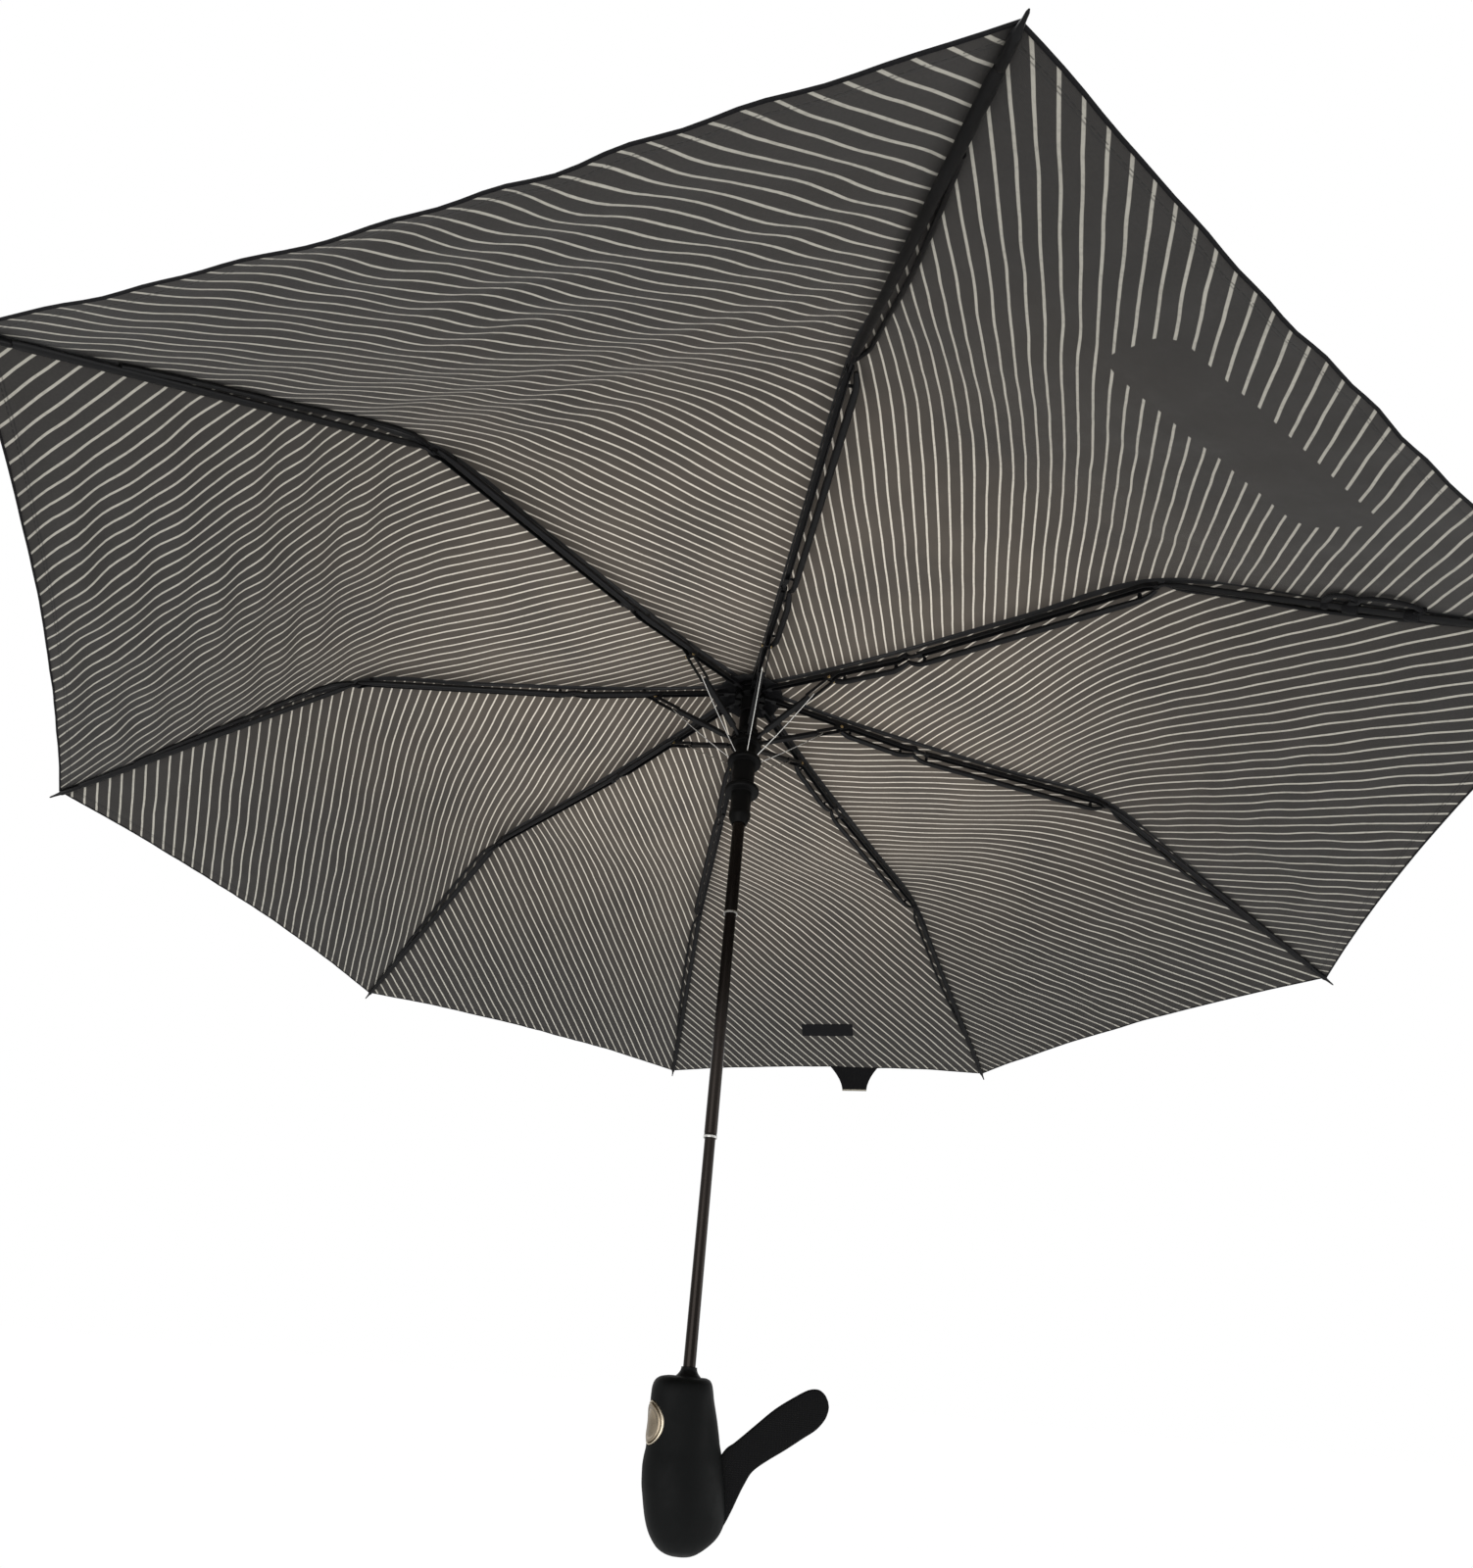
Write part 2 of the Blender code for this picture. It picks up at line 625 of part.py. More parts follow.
def build_runner(plastic, wire_steel):
    bore = UPPER_TUBE_RADIUS + FIT
    profile = [(bore, height(RUNNER_TOP)), (RUNNER_SLEEVE_RADIUS, height(RUNNER_TOP))]
    profile += [(RUNNER_SLEEVE_RADIUS, height(RUNNER_RING_TOP))]
    profile += [(RUNNER_RING_RADIUS, height(RUNNER_RING_TOP))]
    profile += wire_groove(RUNNER_RING_RADIUS, RUNNER_PIVOT[1])
    profile += [(RUNNER_RING_RADIUS, height(RUNNER_RING_END))]
    profile += [(RUNNER_NECK_RADIUS, height(RUNNER_RING_END))]
    profile += runner_collar(RUNNER_UPPER_COLLAR, RUNNER_COLLAR_RADIUS)
    profile += [(RUNNER_NECK_RADIUS, height(RUNNER_UPPER_COLLAR + RUNNER_COLLAR_HEIGHT))]
    profile += runner_collar(RUNNER_LOWER_COLLAR, RUNNER_COLLAR_RADIUS)
    profile += [(RUNNER_BODY_RADIUS, height(RUNNER_LOWER_COLLAR + RUNNER_COLLAR_HEIGHT))]
    profile += [(RUNNER_BODY_RADIUS, height(RUNNER_BEAD)), (RUNNER_BEAD_RADIUS, height(RUNNER_BEAD))]
    profile += [(RUNNER_BEAD_RADIUS, height(RUNNER_BEAD + RUNNER_BEAD_HEIGHT))]
    profile += [(RUNNER_END_RADIUS, height(RUNNER_END)), (bore, height(RUNNER_END))]
    body = cut(turned(profile, TURNED_STEPS), *notches(RUNNER_RING_TOP - FIT, RUNNER_FLOOR))
    place("runner", finished_mesh("runner", body), plastic)
    place("runner_wire", finished_mesh("runner_wire", hinge_wire(RUNNER_PIVOT)), wire_steel)


# Shaft


def tube(radius, top_depth, end_depth):
    """A tube with a narrowed lip at its lower end."""
    inner = radius - TUBE_WALL
    lip = radius - TUBE_WALL / 2
    return turned(
        [
            (inner, height(top_depth)),
            (radius, height(top_depth)),
            (radius, height(end_depth - TUBE_LIP)),
            (lip, height(end_depth)),
            (inner, height(end_depth)),
        ],
        TURNED_STEPS,
    )


def helix(radius, wire, turns, low, high, sides=3, steps=SMALL_STEPS):
    """A spring of round wire between two heights, on Z."""
    made = bmesh.new()
    count = turns * steps
    pitch = (high - low - 2 * wire) / count
    rings = []
    for n in range(count + 1):
        angle = math.tau * n / steps
        out = Vector((math.cos(angle), math.sin(angle), 0))
        centre = out * radius + UP * (low + wire + pitch * n)
        ring = []
        for side in range(sides):
            turn = math.tau * side / sides
            ring.append(made.verts.new(centre + wire * (out * math.cos(turn) + UP * math.sin(turn))))
        rings.append(ring)
    for first, second in zip(rings, rings[1:]):
        skin(made, first, second)
    made.faces.new(rings[0])
    made.faces.new(rings[-1])
    face_outward(made)
    return made


def build_shaft(upper_steel, middle_steel, lower_steel, spring_steel):
    middle_start = UPPER_TUBE_END - TUBE_OVERLAP
    lower_start = MIDDLE_TUBE_END - TUBE_OVERLAP
    tubes = (
        ("upper_tube", UPPER_TUBE_RADIUS, UPPER_TUBE_START, UPPER_TUBE_END, upper_steel),
        ("middle_tube", MIDDLE_TUBE_RADIUS, middle_start, MIDDLE_TUBE_END, middle_steel),
        ("lower_tube", LOWER_TUBE_RADIUS, lower_start, SHAFT_LENGTH + TUBE_SINK, lower_steel),
    )
    for name, radius, top, end, steel in tubes:
        place(name, finished_mesh(name, tube(radius, top, end)), steel)
    coil_radius = UPPER_TUBE_RADIUS - TUBE_WALL - FIT - MAIN_SPRING_WIRE
    low, high = height(middle_start - FIT), height(CAP_STEM + FIT)
    coil = helix(coil_radius, MAIN_SPRING_WIRE, MAIN_SPRING_TURNS, low, high)
    place("main_spring", finished_mesh("main_spring", coil), spring_steel)


# Canopy


def canopy_points():
    """Where the underside of the canopy runs over a rib, as (radius, height above the crown)."""
    between = ((MIDDLE_JOINT[0] + ELBOW[0]) / 2, -(MIDDLE_JOINT[1] + ELBOW[1]) / 2 + MIDDLE_LIFT)
    outside = ((ELBOW[0] + RIB_TIP[0]) / 2, -(ELBOW[1] + RIB_TIP[1]) / 2 + OUTER_LIFT)
    fall = -OUTER_SLOPE
    return [
        Vector((CANOPY_HOLE, CANOPY_SEAT)),
        Vector((CROWN_CORNER, CANOPY_SEAT)),
        Vector((STRETCHER_JOINT[0], -STRETCHER_JOINT[1] + STRETCHER_LIFT)),
        Vector((MIDDLE_JOINT[0], -MIDDLE_JOINT[1] + JOINT_LIFT)),
        Vector(between),
        Vector((ELBOW[0], -ELBOW[1] + ELBOW_LIFT)),
        Vector(outside),
        Vector((RIB_TIP[0] + TIP_LIFT * math.sin(fall), -RIB_TIP[1] + TIP_LIFT * math.cos(fall))),
    ]


def knots_of(points):
    """Each point's place along the line through the points, from 0 to 1."""
    lengths = [(second - first).length for first, second in zip(points, points[1:])]
    return [sum(lengths[:n]) / sum(lengths) for n in range(len(points))]


def smooth_line(points, share):
    """The point at this share of a curve that passes through all the points."""
    knots = knots_of(points)
    n = max([i for i in range(len(knots) - 1) if knots[i] <= share], default=0)
    slopes = []
    for i in (n, n + 1):
        before, after = max(i - 1, 0), min(i + 1, len(points) - 1)
        slopes.append((points[after] - points[before]) / (knots[after] - knots[before]))
    span = knots[n + 1] - knots[n]
    t = (share - knots[n]) / span
    start = (2 * t**3 - 3 * t**2 + 1) * points[n] + (t**3 - 2 * t**2 + t) * span * slopes[0]
    return start + (3 * t**2 - 2 * t**3) * points[n + 1] + (t**3 - t**2) * span * slopes[1]


def row_shares():
    """Where a panel's rows lie: a few to each span of the canopy's line, more where it bends."""
    knots = knots_of(canopy_points())
    rows = [0.0]
    for low, high, steps in zip(knots, knots[1:], GORE_ROWS):
        rows += [low + (high - low) * (step + 1) / steps for step in range(steps)]
    return rows


def canopy_height(radius):
    """Height of the canopy's underside over a rib, on the straight runs between rows."""
    rows = [smooth_line(canopy_points(), share) for share in row_shares()]
    for near, far in zip(rows, rows[1:]):
        if near.x <= radius <= far.x:
            return near.y + (far.y - near.y) * (radius - near.x) / (far.x - near.x)
    return rows[-1].y


def gore_shape(gore):
    """One panel between two ribs: straight across from rib to rib, with a hem that curves in."""
    line = canopy_points()
    start, end = azimuth_of(gore), azimuth_of(gore + 1)
    middle = (start + end) / 2
    out = Vector((math.cos(middle), math.sin(middle), 0))
    across = Vector((math.sin(middle), -math.cos(middle), 0))
    shares = row_shares()
    made = bmesh.new()
    layers = []
    for lift in (0, FABRIC):
        layer = []
        for n, row in enumerate(shares):
            nearer, farther = shares[max(n - 1, 0)], shares[min(n + 1, len(shares) - 1)]
            run = (smooth_line(line, farther) - smooth_line(line, nearer)).normalized()
            if n <= 1:
                run = Vector((1, 0))
            cells = []
            for column in range(GORE_COLUMNS + 1):
                side = 2 * column / GORE_COLUMNS - 1
                here = smooth_line(line, row * (1 - HEM_SCALLOP_SHARE * (1 - side**2)))
                half = here.x * math.sin(math.pi / RIB_COUNT) - SEAM_GAP / 2
                point = out * here.x * math.cos(math.pi / RIB_COUNT) + across * side * half
                point += UP * (CROWN_Z + here.y) + lift * (UP * run.x - out * run.y)
                cells.append(made.verts.new(point))
            layer.append(cells)
        layers.append(layer)
    for layer in layers:
        for first, second in zip(layer, layer[1:]):
            skin(made, first, second, closed=False)
    rim = []
    for layer in layers:
        edge = layer[0] + [row[-1] for row in layer[1:]]
        edge += layer[-1][-2::-1] + [row[0] for row in layer[-2:0:-1]]
        rim.append(edge)
    skin(made, *rim)
    face_outward(made)
    return made


def build_canopy(fabric, black_fabric, plastic):
    for gore in range(1, RIB_COUNT + 1):
        name = f"canopy_gore_{gore}"
        place(name, finished_mesh(name, gore_shape(gore)), fabric)
    build_rosette(black_fabric)
    build_cap(plastic)
    build_tie(black_fabric)


def build_rosette(black_fabric):
    """The eight-sided patch between the crown and the canopy, which droops over the ribs' roots."""
    bore = UPPER_TUBE_RADIUS + FIT
    seat, rim = CROWN_Z + FIT, CROWN_Z - ROSETTE_DROP
    profile = [(bore, seat + FABRIC), (CROWN_CORNER, seat + FABRIC), (ROSETTE_RADIUS, rim + FABRIC)]
    profile += [(ROSETTE_RADIUS, rim), (CROWN_CORNER, seat), (bore, seat)]
    shape = turned(profile, RIB_COUNT)
    place("crown_rosette", finished_mesh("crown_rosette", shape), black_fabric)


def build_cap(plastic):
    """The cap that clamps the middle of the canopy, with a stem down the upper tube."""
    stem = UPPER_TUBE_RADIUS - TUBE_WALL - FIT
    seat = 3 * FIT + 2 * FABRIC
    side = CAP_RADIUS - CAP_RIM / 2
    profile = [(0, height(CAP_STEM)), (stem, height(CAP_STEM)), (stem, CROWN_Z + seat)]
    profile += [(CAP_RADIUS, CROWN_Z + seat), (CAP_RADIUS, CROWN_Z + seat + CAP_RIM)]
    profile += [(side, CROWN_Z + seat + CAP_HEIGHT / 2)]
    profile += [(CAP_FLAT_RADIUS, CROWN_Z + CAP_HEIGHT), (0, CROWN_Z + CAP_HEIGHT)]
    place("top_cap", finished_mesh("top_cap", turned(profile, TURNED_STEPS)), plastic)


def hem_point(along):
    """The hem's (radius, height above the crown) this far from a panel's middle, between its columns."""
    step = 2 / GORE_COLUMNS
    side = along / (RIB_TIP[0] * math.sin(math.pi / RIB_COUNT))
    low = math.floor((side + 1) / step) * step - 1
    shares = [1 - HEM_SCALLOP_SHARE * (1 - at**2) for at in (low, low + step)]
    ends = [smooth_line(canopy_points(), share) for share in shares]
    return ends[0] + (ends[1] - ends[0]) * (side - low) / step


def build_tie(black_fabric):
    """The closing strap, which hangs from one panel's hem, to one side of the panel's middle."""
    middle = (azimuth_of(TIE_GORE) + azimuth_of(TIE_GORE + 1)) / 2
    hem = hem_point(TIE_OFFSET + TIE_TOP_WIDTH / 2)
    top = CROWN_Z + hem.y + TIE_THICKNESS / 2 - FIT
    low = top - TIE_DROP
    outline = [(-TIE_TOP_WIDTH / 2, top), (-TIE_END_WIDTH / 2, low)]
    outline += [(TIE_END_WIDTH / 2, low), (TIE_TOP_WIDTH / 2, top)]
    shape = slab(outline, TIE_THICKNESS / 2)
    reach = hem.x * math.cos(math.pi / RIB_COUNT) - TIE_THICKNESS
    turn = Matrix.Rotation(middle + math.pi / 2, 4, "Z")
    shape = moved(shape, turn @ Matrix.Translation((-TIE_OFFSET, -reach, 0)))
    place("tie_strap", finished_mesh("tie_strap", shape), black_fabric)


# Grip


def grip_shape(proud):
    """The grip's outside, or a skin this far outside it."""
    made = bmesh.new()
    rings = []
    front = Vector((math.cos(GRIP_FRONT_AZIMUTH), math.sin(GRIP_FRONT_AZIMUTH), 0))
    aside = Vector((-front.y, front.x, 0))
    for along, ahead, behind, beside, back in GRIP_STATION_SHARES:
        centre = Vector((0, 0, height(GRIP_TOP + along * GRIP_LENGTH))) - front * back * GRIP_RADIUS
        ring = []
        for step in range(GRIP_SECTION_STEPS):
            angle = math.tau * step / GRIP_SECTION_STEPS
            depth = (ahead if math.cos(angle) > 0 else behind) * GRIP_RADIUS + proud
            width = beside * GRIP_RADIUS + proud
            point = centre + front * depth * math.cos(angle) + aside * width * math.sin(angle)
            ring.append(made.verts.new(point))
        rings.append(ring)
    for first, second in zip(rings, rings[1:]):
        skin(made, first, second)
    end = Vector((0, 0, height(GRIP_TOP + GRIP_LENGTH))) - front * GRIP_END_SHIFT_SHARE * GRIP_RADIUS
    skin(made, rings[-1], [made.verts.new(end)] * GRIP_SECTION_STEPS)
    made.faces.new(rings[0])
    face_outward(made)
    return made


def toward_front(shape, distance=0.0):
    """Lays a shape made on Z along the button's axis, this far from the shaft."""
    axis = Matrix.Rotation(GRIP_FRONT_AZIMUTH, 4, "Z") @ Matrix.Rotation(math.pi / 2, 4, "Y")
    centre = Matrix.Translation((0, 0, height(GRIP_TOP + BUTTON_DEPTH)))
    return moved(shape, centre @ axis @ Matrix.Translation((0, 0, distance)))


def round_bar(radius, low, high, steps=TURNED_STEPS):
    return turned([(0, low), (radius, low), (radius, high), (0, high)], steps)


def build_grip(rubber, plastic, metal, spring_steel):
    reach = GRIP_RADIUS + OVERRUN
    pocket_radius = BUTTON_RADIUS + BEZEL_WALL + 2 * FIT
    core_radius = GRIP_BORE - FIT
    core_end = GRIP_TOP + GRIP_BORE_DEPTH - FIT
    bore = round_bar(GRIP_BORE, height(GRIP_TOP + GRIP_BORE_DEPTH), height(GRIP_TOP - OVERRUN))
    pocket = toward_front(round_bar(pocket_radius, GRIP_BORE / 2, reach))
    shell = cut(cut(grip_shape(0), united(bore, pocket)), strap_slot())
    shell = cut(shell, strap_pin_bar(STRAP_PIN_RADIUS + FIT, STRAP_PIN_LENGTH + 2 * FIT))
    place("grip_shell", finished_mesh("grip_shell", shell), rubber)

    socket = LOWER_TUBE_RADIUS + FIT
    sink = height(GRIP_TOP + TUBE_SINK + FIT)
    profile = [(0, height(core_end)), (core_radius, height(core_end)), (core_radius, height(GRIP_TOP))]
    profile += [(socket, height(GRIP_TOP)), (socket, sink), (0, sink)]
    face_half = GRIP_BORE + OVERRUN
    facet = slab(rectangle(-pocket_radius, pocket_radius, FACET, reach), face_half)
    spring_pocket = round_bar(SPRING_POCKET_RADIUS, SPRING_POCKET, reach, SMALL_STEPS)
    core = cut(turned(profile, TURNED_STEPS), toward_front(united(facet, spring_pocket)))
    place("grip_core", finished_mesh("grip_core", core), plastic)

    collar = [(socket, height(GRIP_TOP - FIT)), (socket, height(GRIP_TOP - COLLAR_HEIGHT))]
    collar += [(COLLAR_TOP_RADIUS, height(GRIP_TOP - COLLAR_HEIGHT))]
    collar += [(COLLAR_RADIUS, height(GRIP_TOP - FIT))]
    place("grip_collar", finished_mesh("grip_collar", turned(collar, TURNED_STEPS)), plastic)

    bezel_inner, bezel_outer = BUTTON_RADIUS + FIT, BUTTON_RADIUS + FIT + BEZEL_WALL
    ring = turned(rectangle(bezel_inner, bezel_outer, BEZEL_BACK, reach), TURNED_STEPS)
    bezel = combined(toward_front(ring), "INTERSECT", grip_shape(BEZEL_PROUD))
    place("button_bezel", finished_mesh("button_bezel", bezel), metal)

    disc = toward_front(round_bar(BUTTON_RADIUS, BUTTON_BACK, reach))
    button = combined(disc, "INTERSECT", grip_shape(BUTTON_PROUD))
    place_on_axis("release_button", button, metal)

    low, high = SPRING_POCKET + FIT, BUTTON_BACK - FIT
    coil = helix(BUTTON_SPRING_RADIUS, BUTTON_SPRING_WIRE, BUTTON_SPRING_TURNS, low, high)
    place_on_axis("button_spring", toward_front(coil), spring_steel)


def place_on_axis(name, shape, finish):
    """Places a shape with its origin where the button's axis meets the shaft."""
    centre = Matrix.Translation((0, 0, height(GRIP_TOP + BUTTON_DEPTH)))
    place(name, finished_mesh(name, moved(shape, centre.inverted())), finish, centre)


# Wrist strap


def across_yz(outline, half_width):
    """A slab of (out, depth) points in the strap's plane, thick along X."""
    shape = slab([(out, height(depth)) for out, depth in outline], half_width)
    return moved(shape, Matrix.Rotation(math.pi / 2, 4, "Z"))


def strap_slot():
    bottom = GRIP_TOP + GRIP_LENGTH + OVERRUN
    widest = max(behind + back for _, _, behind, _, back in GRIP_STATION_SHARES)
    reach = GRIP_RADIUS * widest + OVERRUN
    outline = rectangle(STRAP_SLOT_ROOT, reach, STRAP_SLOT_TOP, bottom)
    return across_yz(outline, STRAP_THICKNESS / 2 + FIT)


def strap_pin_bar(radius, length):
    bar = round_bar(radius, -length / 2, length / 2, SMALL_STEPS)
    centre = Matrix.Translation((0, STRAP_PIN[0], height(STRAP_PIN[1])))
    return moved(bar, centre @ Matrix.Rotation(math.pi / 2, 4, "Y"))


# The strap's two edges as shares of its reach and rise from the pin: out and up along the upper one,
# then out and up along the lower one
STRAP_EDGE_SHARES = (
    (-0.026, 0.101, 0.077, -0.031),
    (-0.005, 0.225, 0.153, 0.031),
    (0.031, 0.364, 0.215, 0.132),
    (0.129, 0.518, 0.262, 0.225),
    (0.209, 0.577, 0.307, 0.307),
    (0.291, 0.640, 0.368, 0.395),
    (0.383, 0.713, 0.475, 0.468),
    (0.537, 0.831, 0.630, 0.555),
    (0.690, 0.922, 0.775, 0.642),
    (0.816, 0.986, 0.891, 0.712),
    (0.897, 1.000, 0.963, 0.783),
    (0.959, 0.972, 0.992, 0.839),
    (0.992, 0.922, 1.000, 0.882),
)


def strap_point(reach, rise):
    return (STRAP_PIN[0] + reach * STRAP_REACH, STRAP_PIN[1] - rise * STRAP_RISE)


def build_strap(leather, metal):
    upper = [strap_point(reach, rise) for reach, rise, _, _ in STRAP_EDGE_SHARES]
    lower = [strap_point(reach, rise) for _, _, reach, rise in STRAP_EDGE_SHARES]
    outline = arc(STRAP_PIN, STRAP_EYE_RADIUS, 70, 230, PIN_STEPS) + upper + lower[::-1]
    band = across_yz(outline, STRAP_THICKNESS / 2)
    band = cut(band, strap_pin_bar(STRAP_PIN_RADIUS + FIT, STRAP_PIN_LENGTH))
    centre = Matrix.Translation((0, STRAP_PIN[0], height(STRAP_PIN[1])))
    place("wrist_strap", finished_mesh("wrist_strap", moved(band, centre.inverted())), leather, centre)
    pin = strap_pin_bar(STRAP_PIN_RADIUS, STRAP_PIN_LENGTH)
    place("strap_pin", finished_mesh("strap_pin", pin), metal)


def build():
    for old in list(bpy.data.objects):
        bpy.data.objects.remove(old)
    painted = material("painted_steel", (0.012, 0.012, 0.013), 0.35, 0.6)
    bright = material("bright_steel", (0.62, 0.61, 0.58), 0.25, 1.0)
    gunmetal = material("gunmetal_tube", (0.035, 0.032, 0.030), 0.28, 0.9)
    black_plastic = material("black_plastic", (0.010, 0.010, 0.010), 0.45, 0.0)
    rubber = material("grip_rubber", (0.011, 0.012, 0.012), 0.7, 0.0)
    champagne = material("champagne_metal", (0.45, 0.38, 0.27), 0.25, 1.0)
    fabric = material("striped_fabric", (0.065, 0.060, 0.055), 0.8, 0.0)
    black_fabric = material("black_fabric", (0.008, 0.008, 0.009), 0.85, 0.0)
    build_shaft(gunmetal, gunmetal, gunmetal, bright)
    build_crown(black_plastic, bright)
    build_runner(black_plastic, bright)
    build_ribs(painted)
    build_canopy(fabric, black_fabric, black_plastic)
    build_grip(rubber, black_plastic, champagne, bright)
    build_strap(black_fabric, bright)


build()
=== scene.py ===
"""Looks of the open compact umbrella: striped cloth on eight jointed ribs, runner, shaft, grip."""

import math

import bmesh
import bpy
import numpy as np
from mathutils import Matrix, Vector

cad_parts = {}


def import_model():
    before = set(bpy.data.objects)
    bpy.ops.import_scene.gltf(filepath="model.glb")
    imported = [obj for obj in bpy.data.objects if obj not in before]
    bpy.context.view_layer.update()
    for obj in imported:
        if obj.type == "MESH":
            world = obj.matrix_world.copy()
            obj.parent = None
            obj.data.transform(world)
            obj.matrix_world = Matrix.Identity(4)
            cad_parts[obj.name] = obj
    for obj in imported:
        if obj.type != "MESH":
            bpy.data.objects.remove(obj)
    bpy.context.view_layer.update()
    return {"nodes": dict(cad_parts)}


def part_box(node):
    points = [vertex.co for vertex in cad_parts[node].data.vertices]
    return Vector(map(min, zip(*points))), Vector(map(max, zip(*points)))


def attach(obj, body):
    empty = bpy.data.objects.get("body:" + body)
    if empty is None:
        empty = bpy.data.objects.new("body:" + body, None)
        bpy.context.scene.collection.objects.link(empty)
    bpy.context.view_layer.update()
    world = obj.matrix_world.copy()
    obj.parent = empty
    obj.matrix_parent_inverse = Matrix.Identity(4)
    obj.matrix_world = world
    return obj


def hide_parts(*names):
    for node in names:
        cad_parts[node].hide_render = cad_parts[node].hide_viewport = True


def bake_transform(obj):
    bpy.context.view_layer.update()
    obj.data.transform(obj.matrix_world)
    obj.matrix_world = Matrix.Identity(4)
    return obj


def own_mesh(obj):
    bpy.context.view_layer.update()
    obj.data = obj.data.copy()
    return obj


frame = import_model()

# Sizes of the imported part, in metres. Depths are below the crown's top face.
RIB_COUNT = 8
RIBS = range(1, RIB_COUNT + 1)
HALF_GORE = math.pi / RIB_COUNT
SHAFT_LENGTH = 0.512
GRIP_LENGTH = 0.0757
CROWN_Z = SHAFT_LENGTH + GRIP_LENGTH / 2
FIT = 0.0003
FABRIC = 0.0005
CROWN_RADIUS = 0.0135
CROWN_CORNER = CROWN_RADIUS / math.cos(HALF_GORE) + FIT
CANOPY_SEAT = 2 * FIT + FABRIC
CANOPY_HOLE = 0.0058
WIRE_RADIUS = 0.00045
CROWN_PIVOT = (0.0105, 0.0060)
RUNNER_PIVOT = (0.0105, 0.0595)
STRETCHER_JOINT = (0.083, 0.028)
MIDDLE_JOINT = (0.150, 0.037)
ELBOW = (0.323, 0.066)
RIB_TIP = (0.485, 0.206)
JOINT_RISE = 0.0024
ELBOW_DROP = 0.0022
STRETCHER_LIFT = 0.0115
JOINT_LIFT = 0.0070
MIDDLE_LIFT = 0.0065
ELBOW_LIFT = 0.0052
OUTER_LIFT = 0.0065
TIP_LIFT = 0.0024
HEM_SCALLOP_SHARE = 0.014
ROSETTE_RADIUS = 0.031
ROSETTE_DROP = 0.0085

# Cloth
CLOTH = 0.0003
COLUMNS = 22
STRIPE_PERIOD = 0.00725
STRIPE_WIDTH = 0.00124
STRIPE_PHASE = 0.00288
PATCH_MIDDLE = (-0.005, 0.446)
PATCH_HALF = (0.073, 0.0195)
PATCH_CORNER = 0.012
PATCH_GORE = 8
HEM_WIDTH = 0.006
HEM_STITCH = 0.0048
HEM_RADIUS = 0.0006
STITCH_PERIOD = 0.0042
WEAVE_PERIOD = 0.0005


def azimuth_of(rib):
    return -math.tau / RIB_COUNT * (rib - 1)


def height(depth):
    return CROWN_Z - depth


def radial(rib):
    """Directions out along a rib and across it."""
    turn = azimuth_of(rib)
    return Vector((math.cos(turn), math.sin(turn), 0)), Vector((-math.sin(turn), math.cos(turn), 0))


def in_rib_plane(rib, radius, depth, aside=0.0):
    out, across = radial(rib)
    return out * radius + across * aside + Vector((0, 0, height(depth)))


# Materials


def rgba(colour):
    return (*colour, 1) if isinstance(colour, tuple) else colour


class Finish:
    """A procedural material, built node by node."""

    def __init__(self, name, roughness, metallic=0.0, **sockets):
        self.made = bpy.data.materials.new(name)
        self.made.use_nodes = True
        self.tree = self.made.node_tree
        self.shader = self.tree.nodes["Principled BSDF"]
        self.shader.inputs["Roughness"].default_value = roughness
        self.shader.inputs["Metallic"].default_value = metallic
        for socket, value in sockets.items():
            self.shader.inputs[socket.replace("_", " ")].default_value = value

    def fill(self, made, inputs):
        for key, value in inputs.items():
            if isinstance(value, bpy.types.NodeSocket):
                self.tree.links.new(value, made.inputs[key])
            else:
                made.inputs[key].default_value = value
        return made

    def node(self, kind, inputs=(), **settings):
        made = self.tree.nodes.new(kind)
        for key, value in settings.items():
            setattr(made, key, value)
        return self.fill(made, dict(inputs))

    def math(self, operation, first, second=0.0, third=0.0):
        values = {0: first, 1: second, 2: third}
        return self.node("ShaderNodeMath", values, operation=operation).outputs[0]

    def times(self, first, second):
        return self.math("MULTIPLY", first, second)

    def plus(self, first, second):
        return self.math("ADD", first, second)

    def minus(self, first, second):
        return self.math("SUBTRACT", first, second)

    def off(self, value, middle):
        """How far a value lies from this middle."""
        return self.math("ABSOLUTE", self.minus(value, middle))

    def ramp(self, value, low, high, to_low=0.0, to_high=1.0):
        inputs = {"Value": value, "From Min": low, "From Max": high, "To Min": to_low, "To Max": to_high}
        return self.node("ShaderNodeMapRange", inputs, interpolation_type="SMOOTHSTEP").outputs["Result"]

    def mix(self, share, first, second):
        values = {0: share, 6: rgba(first), 7: rgba(second)}
        return self.node("ShaderNodeMix", values, data_type="RGBA").outputs[2]

    def noise(self, vector, scale, detail=3.0, roughness=0.55):
        inputs = {"Vector": vector, "Scale": scale, "Detail": detail, "Roughness": roughness}
        return self.node("ShaderNodeTexNoise", inputs).outputs["Fac"]

    def wave(self, vector, scale, distortion, detail=2.0, direction="X"):
        inputs = {"Vector": vector, "Scale": scale, "Distortion": distortion, "Detail": detail}
        return self.node("ShaderNodeTexWave", inputs, bands_direction=direction).outputs["Fac"]

    def coordinates(self):
        return self.node("ShaderNodeTexCoord").outputs["Object"]

    def bump(self, level, strength, distance):
        inputs = {"Height": level, "Strength": strength, "Distance": distance}
        return self.node("ShaderNodeBump", inputs).outputs["Normal"]

    def finish(self, colour, roughness=None, normal=None):
        wanted = {"Base Color": rgba(colour), "Roughness": roughness, "Normal": normal}
        self.fill(self.shader, {key: value for key, value in wanted.items() if value is not None})
        return self.made


